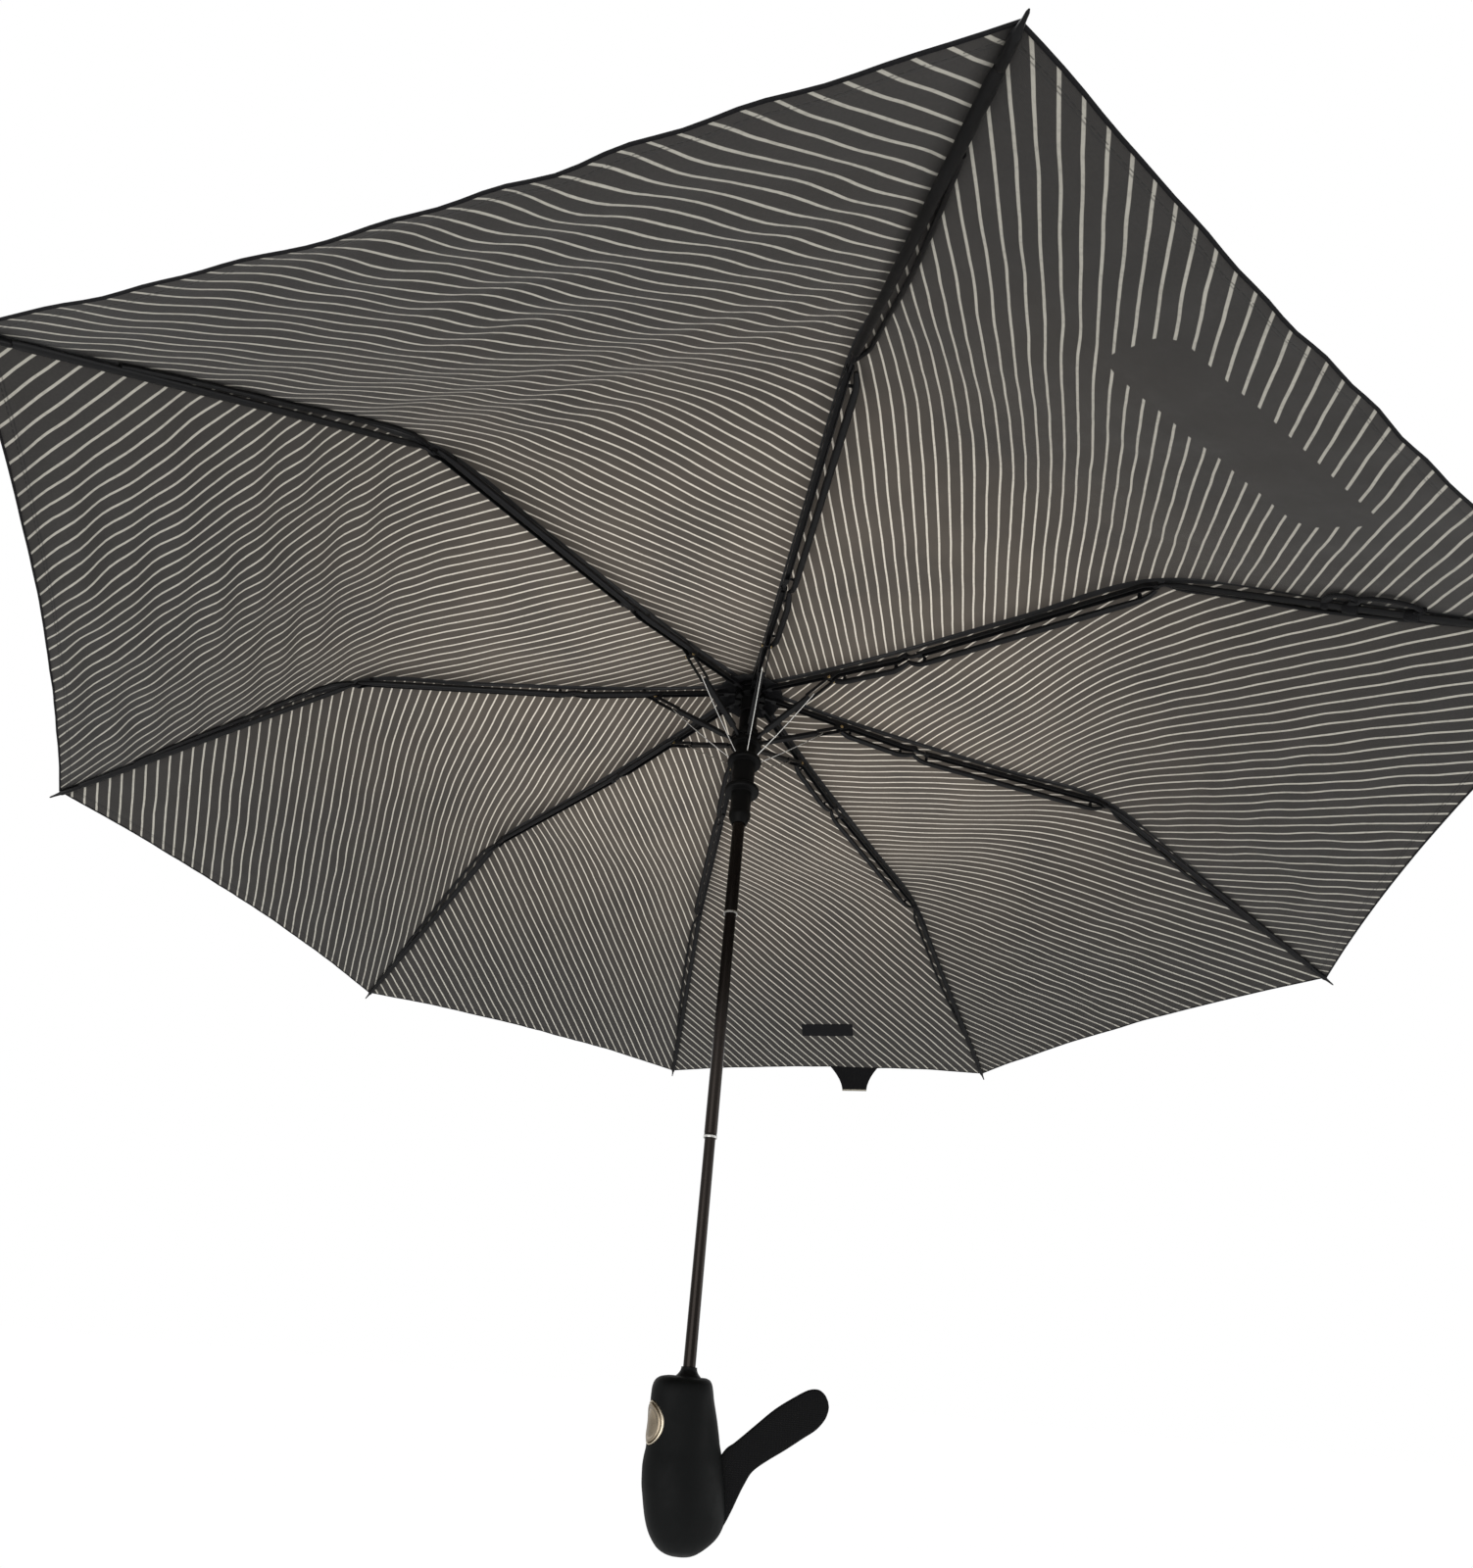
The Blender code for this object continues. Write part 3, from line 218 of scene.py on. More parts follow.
def cloth_finish(name, patched):
    """Charcoal cloth with a fine pale line woven in at 45 degrees, on a map in metres."""
    f = Finish(name, 0.75, Sheen_Weight=0.12, Sheen_Roughness=0.45, Specular_IOR_Level=0.25)
    place = f.node("ShaderNodeUVMap", uv_map="cloth").outputs[0]
    x, y = f.node("ShaderNodeSeparateXYZ", {0: place}).outputs[:2]
    wander = f.times(f.minus(f.noise(place, 26.0, 2.0), 0.5), 0.0016)
    across = f.math("MULTIPLY_ADD", f.minus(x, y), math.sqrt(0.5), wander)
    along = f.times(f.plus(x, y), math.sqrt(0.5))
    turn = f.math("DIVIDE", f.plus(across, STRIPE_PHASE + 100 * STRIPE_PERIOD), STRIPE_PERIOD)
    half = STRIPE_WIDTH / STRIPE_PERIOD / 2
    line = f.ramp(f.off(f.math("FRACT", turn), 0.5), half + 0.022, half - 0.022)
    thread = f.noise(f.node("ShaderNodeCombineXYZ", {0: along, 1: across}).outputs[0], 420.0, 2.0)
    line = f.times(line, f.ramp(thread, 0.25, 0.55, 0.80, 1.0))
    edge = f.node("ShaderNodeUVMap", uv_map="edge").outputs[0]
    to_seam, to_hem = f.node("ShaderNodeSeparateXYZ", {0: edge}).outputs[:2]
    if patched:
        squares = []
        for value, middle, reach in zip((x, y), PATCH_MIDDLE, PATCH_HALF):
            out = f.math("MAXIMUM", f.minus(f.off(value, middle), reach - PATCH_CORNER), 0.0)
            squares.append(f.times(out, out))
        far = f.math("SQRT", f.plus(*squares))
        line = f.times(line, f.ramp(far, PATCH_CORNER - 0.0003, PATCH_CORNER + 0.0003))
    # the folded hem, the seam allowance and their stitches
    hem = f.ramp(to_hem, HEM_WIDTH + 0.0002, HEM_WIDTH - 0.0002)
    hem_line = f.ramp(f.off(to_hem, HEM_WIDTH), 0.0006, 0.0)
    seam = f.ramp(f.plus(to_seam, f.ramp(y, 0.325, 0.345, 0.0, 0.0017)), 0.0030, 0.0024)
    run = f.math("FRACT", f.math("DIVIDE", f.plus(along, across), STITCH_PERIOD))
    stitch = f.times(f.ramp(f.off(to_hem, HEM_STITCH), 0.0004, 0.0001), f.ramp(run, 0.28, 0.34))
    # painted light: the ground and the pale line are painted lighter and warmer toward the crown, where the
    # underside of the canopy is lit
    painted_centre_light = f.ramp(y, 0.50, 0.12)
    ground = f.mix(painted_centre_light, (0.030, 0.0285, 0.027), (0.132, 0.109, 0.086))
    ground = f.mix(f.ramp(f.noise(place, 9.0, 4.0), 0.35, 0.70, 0.0, 0.5), ground, (0.026, 0.026, 0.026))
    ground = f.mix(f.times(f.noise(place, 900.0, 2.0), 0.35), ground, (0.080, 0.072, 0.065))
    pale = f.mix(painted_centre_light, (0.50, 0.48, 0.42), (0.86, 0.79, 0.68))
    colour = f.mix(line, ground, pale)
    colour = f.mix(f.math("MAXIMUM", f.times(hem_line, 0.45), seam), colour, (0.016, 0.016, 0.017))
    colour = f.mix(f.times(stitch, 0.6), colour, (0.012, 0.012, 0.012))
    weave = f.times(f.math("SINE", f.times(along, math.tau / WEAVE_PERIOD)),
                    f.math("SINE", f.times(across, math.tau / WEAVE_PERIOD)))
    level = f.plus(f.times(weave, 0.30), f.times(line, 0.4))
    level = f.minus(f.plus(level, f.times(hem, 1.5)), f.times(stitch, 1.2))
    rough = f.ramp(f.noise(place, 60.0, 3.0), 0.3, 0.7, 0.66, 0.84)
    return f.finish(colour, rough, f.bump(level, 0.5, 0.00015))


def black_cloth_finish():
    f = Finish("black_cloth", 0.8, Sheen_Weight=0.05, Sheen_Roughness=0.4, Specular_IOR_Level=0.12)
    place = f.coordinates()
    fine = f.noise(place, 1300.0, 3.0)
    weave = f.wave(place, 260.0, 1.5)
    colour = f.mix(fine, (0.003, 0.003, 0.0035), (0.011, 0.011, 0.012))
    level = f.plus(fine, weave)
    return f.finish(colour, f.ramp(fine, 0.3, 0.7, 0.70, 0.88), f.bump(level, 0.5, 0.0002))


def steel_finish(name, dark, light, low, high, metallic, grain=(1, 1, 1), **sockets):
    """Drawn or painted steel: a colour between two, streaked along the grain, with small scratches."""
    f = Finish(name, high, metallic, **sockets)
    place = f.coordinates()
    drawn = f.node("ShaderNodeMapping", {"Vector": place, "Scale": grain}).outputs[0]
    streak = f.noise(drawn, 90.0, 4.0, 0.65)
    fine = f.noise(place, 1500.0, 2.0)
    marks = f.ramp(f.noise(place, 340.0, 5.0, 0.7), 0.62, 0.74)
    colour = f.mix(streak, dark, light)
    colour = f.mix(f.times(marks, 0.25), colour, tuple(3 * c for c in light))
    rough = f.ramp(streak, 0.3, 0.7, low, high)
    return f.finish(colour, rough, f.bump(f.plus(fine, streak), 0.25, 0.00008))


def moulded_finish(name, dark, light, low, high, grain, depth, **sockets):
    """Moulded plastic or rubber: fine grain, faint blotches and polish where it is handled."""
    f = Finish(name, high, 0.0, **sockets)
    place = f.coordinates()
    blotch = f.noise(place, 45.0, 4.0, 0.6)
    fine = f.noise(place, grain, 3.0, 0.6)
    colour = f.mix(f.math("MULTIPLY_ADD", fine, 0.5, f.times(blotch, 0.5)), dark, light)
    return f.finish(colour, f.ramp(blotch, 0.35, 0.65, low, high), f.bump(fine, 0.45, depth))


def webbing_finish():
    f = Finish("strap_webbing_black", 0.7, Sheen_Weight=0.02, Sheen_Roughness=0.35, Specular_IOR_Level=0.08)
    place = f.coordinates()
    wale = f.wave(place, 330.0, 0.6, 1.0, "Z")
    cross = f.wave(place, 210.0, 0.6, 1.0, "Y")
    level = f.times(wale, cross)
    fine = f.noise(place, 1600.0, 3.0)
    colour = f.mix(f.math("MULTIPLY_ADD", level, 0.6, f.times(fine, 0.4)),
                   (0.0022, 0.0022, 0.0024), (0.009, 0.009, 0.0095))
    return f.finish(colour, f.ramp(fine, 0.3, 0.7, 0.6, 0.8), f.bump(level, 0.6, 0.00025))


CLOTH_FINISH = cloth_finish("striped_cloth", False)
PATCHED_CLOTH = cloth_finish("striped_cloth_bare_patch", True)
BLACK_CLOTH = black_cloth_finish()
RIB_PAINT = steel_finish("rib_paint", (0.004, 0.004, 0.0045), (0.010, 0.010, 0.0105), 0.28, 0.46, 0.0,
                         Specular_IOR_Level=0.16)
WIRE_STEEL = steel_finish("wire_steel", (0.45, 0.45, 0.43), (0.68, 0.67, 0.64), 0.18, 0.36, 1.0)
TUBE_STEEL = steel_finish("tube_steel", (0.009, 0.007, 0.006), (0.024, 0.019, 0.016), 0.16, 0.34, 0.85,
                          (1, 1, 0.05))
BRASS = steel_finish("brass_rivet", (0.40, 0.28, 0.12), (0.58, 0.44, 0.22), 0.2, 0.4, 1.0)
CHAMPAGNE = steel_finish("champagne_plate", (0.46, 0.40, 0.30), (0.60, 0.53, 0.42), 0.22, 0.40, 1.0)
PLATE = steel_finish("brown_plate", (0.22, 0.18, 0.13), (0.32, 0.27, 0.20), 0.22, 0.40, 1.0)
PLASTIC = moulded_finish("black_plastic", (0.0018, 0.0018, 0.0018), (0.005, 0.005, 0.005), 0.36, 0.54,
                         1500.0, 0.00006, Specular_IOR_Level=0.09)
RUBBER = moulded_finish("soft_grip", (0.0016, 0.0019, 0.0019), (0.0042, 0.0048, 0.0048), 0.50, 0.66,
                        2600.0, 0.00008, Specular_IOR_Level=0.09)
WEBBING = webbing_finish()
THREAD = moulded_finish("pale_thread", (0.30, 0.28, 0.22), (0.48, 0.45, 0.38), 0.7, 0.85, 1800.0, 0.0001)


# Pieces


def placed(name, data):
    made = bpy.data.objects.new(name, data)
    bpy.context.scene.collection.objects.link(made)
    return made


def smooth(mesh, angle=35):
    mesh.shade_smooth()
    mesh.set_sharp_from_angle(angle=math.radians(angle))
    return mesh


def mesh_of(name, points, faces, angle=35):
    mesh = bpy.data.meshes.new(name)
    mesh.from_pydata([tuple(p) for p in points], [], faces)
    shape = bmesh.new()
    shape.from_mesh(mesh)
    bmesh.ops.remove_doubles(shape, verts=shape.verts, dist=1e-7)
    bmesh.ops.recalc_face_normals(shape, faces=shape.faces)
    if shape.calc_volume(signed=True) < 0:
        bmesh.ops.reverse_faces(shape, faces=shape.faces)
    shape.to_mesh(mesh)
    shape.free()
    return smooth(mesh, angle)


def piece(name, mesh, finish, body, slot, *replaces):
    made = placed(name, mesh)
    if not mesh.materials:
        mesh.materials.append(finish)
    if body:
        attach(made, body)
    if replaces:
        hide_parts(*replaces)
    return made


def paint(finish, *nodes):
    """Another finish on nodes that keep their own solids."""
    for node in nodes:
        materials = frame["nodes"][node].data.materials
        materials.clear()
        materials.append(finish)


def turns(count):
    """Angles once round in equal steps."""
    return [math.tau * i / count for i in range(count)]


def ellipse(centre, first, second, count):
    """A ring of points about a centre, from its two half axes."""
    return [centre + first * math.cos(turn) + second * math.sin(turn) for turn in turns(count)]


def loft(rings, loop=False):
    """Points and faces of a skin through rings of equally many points."""
    count = len(rings[0])
    points = [point for ring in rings for point in ring]
    faces = []
    for n in range(len(rings) if loop else len(rings) - 1):
        first, second = n * count, ((n + 1) % len(rings)) * count
        for i in range(count):
            j = (i + 1) % count
            faces.append((first + i, first + j, second + j, second + i))
    if not loop:
        faces.append(tuple(range(count)))
        faces.append(tuple(range(len(points) - count, len(points))))
    return points, faces


def joined(name, parts, angle=35):
    """Several separate skins, each given as its rings, as one mesh."""
    points, faces = [], []
    for rings in parts:
        its_points, its_faces = loft(rings)
        faces += [tuple(len(points) + v for v in face) for face in its_faces]
        points += its_points
    return mesh_of(name, points, faces, angle)


def softened(outline, reach, steps=3):
    """A closed outline with its corners rounded off this far along their sides. Points on the axis stay."""
    made = []
    for n, point in enumerate(outline):
        corner = Vector(point)
        if corner.x == 0:
            made.append(corner)
            continue
        before, after = Vector(outline[n - 1]), Vector(outline[(n + 1) % len(outline)])
        cut = min(reach, (before - corner).length / 2.1, (after - corner).length / 2.1)
        start = corner + (before - corner).normalized() * cut
        end = corner + (after - corner).normalized() * cut
        for i in range(steps + 1):
            t = i / steps
            made.append((1 - t) ** 2 * start + 2 * t * (1 - t) * corner + t**2 * end)
    return made


def turned(name, profile, steps=64, angle=35):
    """A closed profile of (radius, z) turned about Z."""
    rings = []
    for turn in turns(steps):
        rings.append([Vector((r * math.cos(turn), r * math.sin(turn), z)) for r, z in profile])
    points, faces = loft(rings, loop=True)
    kept = [face for face in faces if len({tuple(round(c, 7) for c in points[v]) for v in face}) > 2]
    return mesh_of(name, points, kept, angle)


def down(*rows):
    """Rows of (radius, depth) as a profile of (radius, z)."""
    return [(radius, height(depth)) for radius, depth in rows]


def cut_mesh(mesh, cutter):
    """The mesh after the cutter is taken out of it."""
    body, tool = placed("cut", mesh), placed("cut", cutter)
    modifier = body.modifiers.new("cut", "BOOLEAN")
    modifier.operation = "DIFFERENCE"
    modifier.object = tool
    depsgraph = bpy.context.evaluated_depsgraph_get()
    result = bpy.data.meshes.new_from_object(body.evaluated_get(depsgraph))
    for made in (body, tool):
        data = made.data
        bpy.data.objects.remove(made)
        bpy.data.meshes.remove(data)
    return smooth(result)


def boxes(name, low, high, matrices):
    """Several separate boxes as one mesh."""
    corners = ((low[0], low[1]), (high[0], low[1]), (high[0], high[1]), (low[0], high[1]))
    parts = []
    for matrix in matrices:
        parts.append([[matrix @ Vector((x, y, z)) for x, y in corners] for z in (low[2], high[2])])
    return joined(name, parts)


def run_at(path, n):
    return (path[min(n + 1, len(path) - 1)] - path[max(n - 1, 0)]).normalized()


def rings_along(path, radii, sides=12, flat=1.0, up=(0, 0, 1)):
    """Rings round a path. Flat squeezes them toward the up direction."""
    path = [Vector(p) for p in path]
    rings = []
    for n, point in enumerate(path):
        run = run_at(path, n)
        aside = run.cross(Vector(up))
        if aside.length < 1e-4:
            aside = run.cross(Vector((1, 0, 0)))
        aside.normalize()
        radius = radii[n] if hasattr(radii, "__len__") else radii
        rings.append(ellipse(point, aside * radius, aside.cross(run) * (flat * radius), sides))
    return rings


def tube_along(name, path, radii, sides=12, flat=1.0, up=(0, 0, 1)):
    """A round bar along a path."""
    return mesh_of(name, *loft(rings_along(path, radii, sides, flat, up)), 50)


def hermite(t, span, start, end, start_slope, end_slope):
    """A smooth curve between two values with these slopes, at a share of the span."""
    made = (2 * t**3 - 3 * t**2 + 1) * start + (t**3 - 2 * t**2 + t) * span * start_slope
    return made + (3 * t**2 - 2 * t**3) * end + (t**3 - t**2) * span * end_slope


def through(stations, place):
    """Values at a place of a smooth curve through rows of (place, values...)."""
    keys = stations[:, 0]
    n = int(np.clip(np.searchsorted(keys, place, side="right") - 1, 0, len(keys) - 2))

    def slope(i):
        low, high = max(i - 1, 0), min(i + 1, len(keys) - 1)
        step = (stations[high, 1:] - stations[low, 1:]) / (keys[high] - keys[low])
        if 0 < i < len(keys) - 1:
            before_it = (stations[i, 1:] - stations[i - 1, 1:]) / (keys[i] - keys[i - 1])
            after_it = (stations[i + 1, 1:] - stations[i, 1:]) / (keys[i + 1] - keys[i])
            limit = 3 * np.minimum(np.abs(before_it), np.abs(after_it))
            step = np.where(before_it * after_it <= 0, 0, np.clip(step, -limit, limit))
        return step

    span = keys[n + 1] - keys[n]
    start, end = stations[n, 1:], stations[n + 1, 1:]
    return hermite((place - keys[n]) / span, span, start, end, slope(n), slope(n + 1))


def curve_rows(stations, steps=41):
    """Rows of (place, values...) at even steps of the smooth curve through such rows."""
    places = np.linspace(stations[0, 0], stations[-1, 0], steps)
    return [(place, *through(stations, place)) for place in places]


# Cloth


def link_slope(start, end, rise):
    run, drop = end[0] - start[0], end[1] - start[1]
    return math.atan2(-drop, run) - math.asin(rise / math.hypot(run, drop))


def link_length(start, end, rise):
    return math.sqrt((end[0] - start[0]) ** 2 + (end[1] - start[1]) ** 2 - rise**2)


OUTER_SLOPE = link_slope(ELBOW, RIB_TIP, ELBOW_DROP)
OUTER_LENGTH = link_length(ELBOW, RIB_TIP, ELBOW_DROP)
TOP_SLOPE = link_slope(CROWN_PIVOT, MIDDLE_JOINT, JOINT_RISE)
TOP_LENGTH = link_length(CROWN_PIVOT, MIDDLE_JOINT, JOINT_RISE)
MIDDLE_SLOPE = link_slope(MIDDLE_JOINT, ELBOW, -JOINT_RISE - ELBOW_DROP)
MIDDLE_LENGTH = link_length(MIDDLE_JOINT, ELBOW, -JOINT_RISE - ELBOW_DROP)


def canopy_points():
    """Where the underside of the canopy runs over a rib, as (radius, height above the crown)."""
    between = (MIDDLE_JOINT[0] + ELBOW[0]) / 2, -(MIDDLE_JOINT[1] + ELBOW[1]) / 2 + MIDDLE_LIFT
    outside = (ELBOW[0] + RIB_TIP[0]) / 2, -(ELBOW[1] + RIB_TIP[1]) / 2 + OUTER_LIFT
    tip = (RIB_TIP[0] - TIP_LIFT * math.sin(OUTER_SLOPE), -RIB_TIP[1] + TIP_LIFT * math.cos(OUTER_SLOPE))
    return np.array([
        (CANOPY_HOLE, CANOPY_SEAT), (CROWN_CORNER, CANOPY_SEAT),
        (STRETCHER_JOINT[0], -STRETCHER_JOINT[1] + STRETCHER_LIFT),
        (MIDDLE_JOINT[0], -MIDDLE_JOINT[1] + JOINT_LIFT),
        between, (ELBOW[0], -ELBOW[1] + ELBOW_LIFT), outside, tip,
    ])


LINE = canopy_points()
SPANS = np.linalg.norm(np.diff(LINE, axis=0), axis=1)
KNOTS = np.concatenate([[0], np.cumsum(SPANS)]) / SPANS.sum()


def canopy_line(share):
    """(radius, height above the crown) at these shares of the smooth curve through the points."""
    share = np.asarray(share, float)
    n = np.clip(np.searchsorted(KNOTS, share, side="right") - 1, 0, len(KNOTS) - 2)
    last = len(LINE) - 1

    def slope(i):
        before, after = np.maximum(i - 1, 0), np.minimum(i + 1, last)
        return (LINE[after] - LINE[before]) / (KNOTS[after] - KNOTS[before])[..., None]

    span = (KNOTS[n + 1] - KNOTS[n])[..., None]
    made = hermite((share - KNOTS[n])[..., None] / span, span, LINE[n], LINE[n + 1], slope(n), slope(n + 1))
    return made[..., 0], made[..., 1]


TABLE_SHARES = np.linspace(0, 1, 1201)
TABLE_RADIUS, TABLE_RISE = canopy_line(TABLE_SHARES)
TABLE_RUN = np.concatenate(
    [[0], np.cumsum(np.hypot(np.diff(TABLE_RADIUS) * math.cos(HALF_GORE), np.diff(TABLE_RISE)))]
)


def drawn_in(side, share):
    """The share of the line at this place on a panel, whose hem curves in between the ribs."""
    return share * (1 - HEM_SCALLOP_SHARE * (1 - side**2))


def flat_place(side, share):
    """Where a place on a panel lies in the flat cut: across its middle line and along it, in metres."""
    here = drawn_in(side, share)
    radius = canopy_line(here)[0]
    return side * radius * math.sin(HALF_GORE), np.interp(here, TABLE_SHARES, TABLE_RUN)


def waves(seed, x, y, count=7):
    """Smooth unevenness about one unit long, from -1 to 1."""
    draw = np.random.RandomState(seed)
    total = 0
    for turn, phase, pace in zip(draw.uniform(0, math.tau, count), draw.uniform(0, math.tau, count),
                                 draw.uniform(0.7, 1.5, count)):
        total = total + np.sin(math.tau * pace * (x * math.cos(turn) + y * math.sin(turn)) + phase)
    return total / count**0.5 / 1.4


def creases(gore, side, share):
    """How far the cloth stands off its taut surface: slack between the ribs and pull lines at the hem."""
    x, y = flat_place(side, share)
    inside = np.clip(1 - side**2, 0, 1)
    free = inside * np.clip(y / 0.10, 0, 1)
    outer = np.clip((y - 0.30) / 0.15, 0, 1)
    slack = waves(10 + gore, x / 0.11, y / 0.14) * 0.0011
    ripple = waves(30 + gore, x / 0.035, y / 0.10) * 0.0007 * outer
    folded = waves(50 + gore, x / 0.16, y / 0.030) * 0.0009 * (1.6 if gore in (1, 2) else 0.7)
    folded = folded * np.clip((y - 0.22) / 0.15, 0, 1)
    return free**0.5 * (slack + folded) + inside**0.6 * ripple


def panel_axes(gore):
    """Directions out along a panel's middle line and across it."""
    middle = azimuth_of(gore) - HALF_GORE
    return (math.cos(middle), math.sin(middle), 0), (math.sin(middle), -math.cos(middle), 0)


def panel(gore, side, share):
    """Points of a panel's underside."""
    out, across = map(np.array, panel_axes(gore))
    here = drawn_in(side, share)
    radius, rise = canopy_line(here)
    ahead = canopy_line(here + 1e-3)
    run, fall = ahead[0] - radius, ahead[1] - rise
    length = np.hypot(run, fall)
    up = np.array([0, 0, 1.0])
    lift = creases(gore, side, share)
    point = out * (radius * math.cos(HALF_GORE))[..., None]
    point = point + across * (side * radius * math.sin(HALF_GORE))[..., None]
    point = point + up * (CROWN_Z + rise)[..., None]
    return point + lift[..., None] * (up * (run / length)[..., None] - out * (fall / length)[..., None])


def panel_normal(gore, side, share):
    step = 2e-4
    over = panel(gore, side + step, share) - panel(gore, side - step, share)
    along = panel(gore, side, share + step) - panel(gore, side, share - step)
    normal = np.cross(over, along)
    return normal / np.linalg.norm(normal, axis=-1)[..., None]


def before(rib):
    """The panel on the near side of a rib; the rib's own number names the one on its far side."""
    return (rib - 2) % RIB_COUNT + 1


OUTER_SEAM_SHIFT = 0.0022
STRIPS = (
    ("inner", "top_link", "top_rib", KNOTS[0], KNOTS[3], 22),
    ("middle", "middle_link", "middle_rib", KNOTS[3], KNOTS[5], 34),
    ("outer", "outer_link", "outer_rib", KNOTS[5], 1.0, 50),
)


def strip_mesh(name, rib, low, high, rows):
    """Two layers of cloth over one link of a rib, out to the middle of the panel on each side."""
    columns = 2 * COLUMNS + 1
    share = np.linspace(low, high, rows + 1)[:, None]
    halves = []
    for gore, start in ((before(rib), 0.0), (rib, -1.0)):
        side = np.linspace(start, start + 1, COLUMNS + 1)[None, :]
        at_side, at_share = np.broadcast_arrays(side, share)
        x, y = flat_place(at_side, at_share)
        radius = canopy_line(drawn_in(at_side, at_share))[0]
        to_seam = (1 - np.abs(at_side)) * radius * math.sin(HALF_GORE)
        to_hem = flat_place(at_side, np.ones_like(at_share))[1] - y
        halves.append({
            "point": panel(gore, at_side, at_share), "normal": panel_normal(gore, at_side, at_share),
            "cloth": np.stack([x, y], -1), "edge": np.stack([to_seam, to_hem], -1),
            "finish": int(gore == PATCH_GORE),
        })
    point = np.concatenate([halves[0]["point"], halves[1]["point"][:, 1:]], 1)
    lean = np.concatenate([halves[0]["normal"], halves[1]["normal"][:, 1:]], 1)
    lean[:, COLUMNS] += halves[1]["normal"][:, 0]
    lean /= np.linalg.norm(lean, axis=-1)[..., None]
    layer = point.shape[0] * columns
    points = np.concatenate([point.reshape(-1, 3), (point + CLOTH * lean).reshape(-1, 3)])

    faces, finishes, corner_data = [], [], {"cloth": [], "edge": [], "normal": []}

    def add(half, corners, way):
        """A face of a half from its (row, column) corners: of the outer layer, the under one or the rim."""
        level = {1: (1, 1, 1, 1), -1: (0, 0, 0, 0), 0: (1, 1, 0, 0)}[way]
        faces.append([lv * layer + r * columns + c + half * COLUMNS for (r, c), lv in zip(corners, level)])
        data = halves[half]
        # the dark seam is broad on the underside alone
        shift = np.array((OUTER_SEAM_SHIFT if way == 1 else 0.0, 0.0))
        for r, c in corners:
            corner_data["cloth"].append(data["cloth"][r, c])
            corner_data["edge"].append(data["edge"][r, c] + shift)
            corner_data["normal"].append(way * data["normal"][r, c])
        finishes.append(data["finish"])

    for half in (0, 1):
        for r in range(rows):
            for c in range(COLUMNS):
                corners = [(r, c), (r, c + 1), (r + 1, c + 1), (r + 1, c)]
                add(half, corners, 1)
                add(half, corners[::-1], -1)
        for c in range(COLUMNS):
            add(half, [(0, c + 1), (0, c), (0, c), (0, c + 1)], 0)
            add(half, [(rows, c), (rows, c + 1), (rows, c + 1), (rows, c)], 0)
    for r in range(rows):
        add(0, [(r, 0), (r + 1, 0), (r + 1, 0), (r, 0)], 0)
        add(1, [(r + 1, COLUMNS), (r, COLUMNS), (r, COLUMNS), (r + 1, COLUMNS)], 0)

    mesh = bpy.data.meshes.new(name)
    mesh.from_pydata(points.tolist(), [], faces)
    for key in ("cloth", "edge"):
        layer_map = mesh.uv_layers.new(name=key)
        layer_map.data.foreach_set("uv", np.array(corner_data[key], np.float32).ravel())
    mesh.materials.append(CLOTH_FINISH)
    mesh.materials.append(PATCHED_CLOTH)
    mesh.polygons.foreach_set("material_index", finishes)
    mesh.shade_smooth()
    flat = np.zeros(len(faces) * 3, np.float32)
    mesh.polygons.foreach_get("normal", flat)
    flat = np.repeat(flat.reshape(-1, 3), 4, axis=0)
    normals = np.array(corner_data["normal"], np.float32)
    rim = np.abs(normals).sum(axis=1) == 0
    normals[rim] = flat[rim]
    mesh.normals_split_custom_set(normals.tolist())
    under = (point[1:, 1:] - point[:-1, :-1], point[1:, :-1] - point[:-1, 1:])
    area = float(np.linalg.norm(np.cross(*under), axis=-1).sum() / 2)
    return mesh, area


def fold_with(made):
    """Gives the piece its own copy of its mesh."""
    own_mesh(made)


def hem_path(rib):
    path = []
    for gore, start in ((before(rib), 0.0), (rib, -1.0)):
        side = np.linspace(start, start + 1, COLUMNS + 1)
        path += list(panel(gore, side, np.ones_like(side)))[1 if path else 0:]
    return [Vector(p) for p in path]


# A dark strip under the cloth of panel 5, above the closing tab, as painted shadow of a strap on the cloth's
# outside seen through it: its sides and ends in the flat cut
STRAP_SHADOW_GORE = 5
STRAP_SHADOW_SIDES = (-0.017, 0.043)
STRAP_SHADOW_ENDS = (0.448, 0.462)
STRAP_SHADOW_FACES = (0.0001, 0.0007)


def strap_shadow_piece(rib):
    """The half of the painted shadow strip that lies on this rib's strip of cloth."""
    low, high = (STRAP_SHADOW_SIDES[0], 0.0) if rib == STRAP_SHADOW_GORE else (0.0, STRAP_SHADOW_SIDES[1])
    x = np.linspace(low, high, 13)[None, :]
    y = np.linspace(*STRAP_SHADOW_ENDS, 5)[:, None]
    here = np.interp(y, TABLE_RUN, TABLE_SHARES)
    side = x / (canopy_line(here)[0] * math.sin(HALF_GORE))
    share = here / (1 - HEM_SCALLOP_SHARE * (1 - side**2))
    side, share = np.broadcast_arrays(side, share)
    point, normal = panel(STRAP_SHADOW_GORE, side, share), panel_normal(STRAP_SHADOW_GORE, side, share)
    near, far = (point - normal * gap for gap in STRAP_SHADOW_FACES)
    rings = [[Vector(p) for p in (*near[:, c], *far[::-1, c])] for c in range(side.shape[1])]
    # a dark cloth strip as painted shadow of the strap on the cloth's outside
    mesh = mesh_of("painted_strap_shadow", *loft(rings))
    made = piece(f"painted_strap_shadow_{rib}", mesh, BLACK_CLOTH, f"outer_link_{rib}", "black_fabric")
    fold_with(made)
    return made


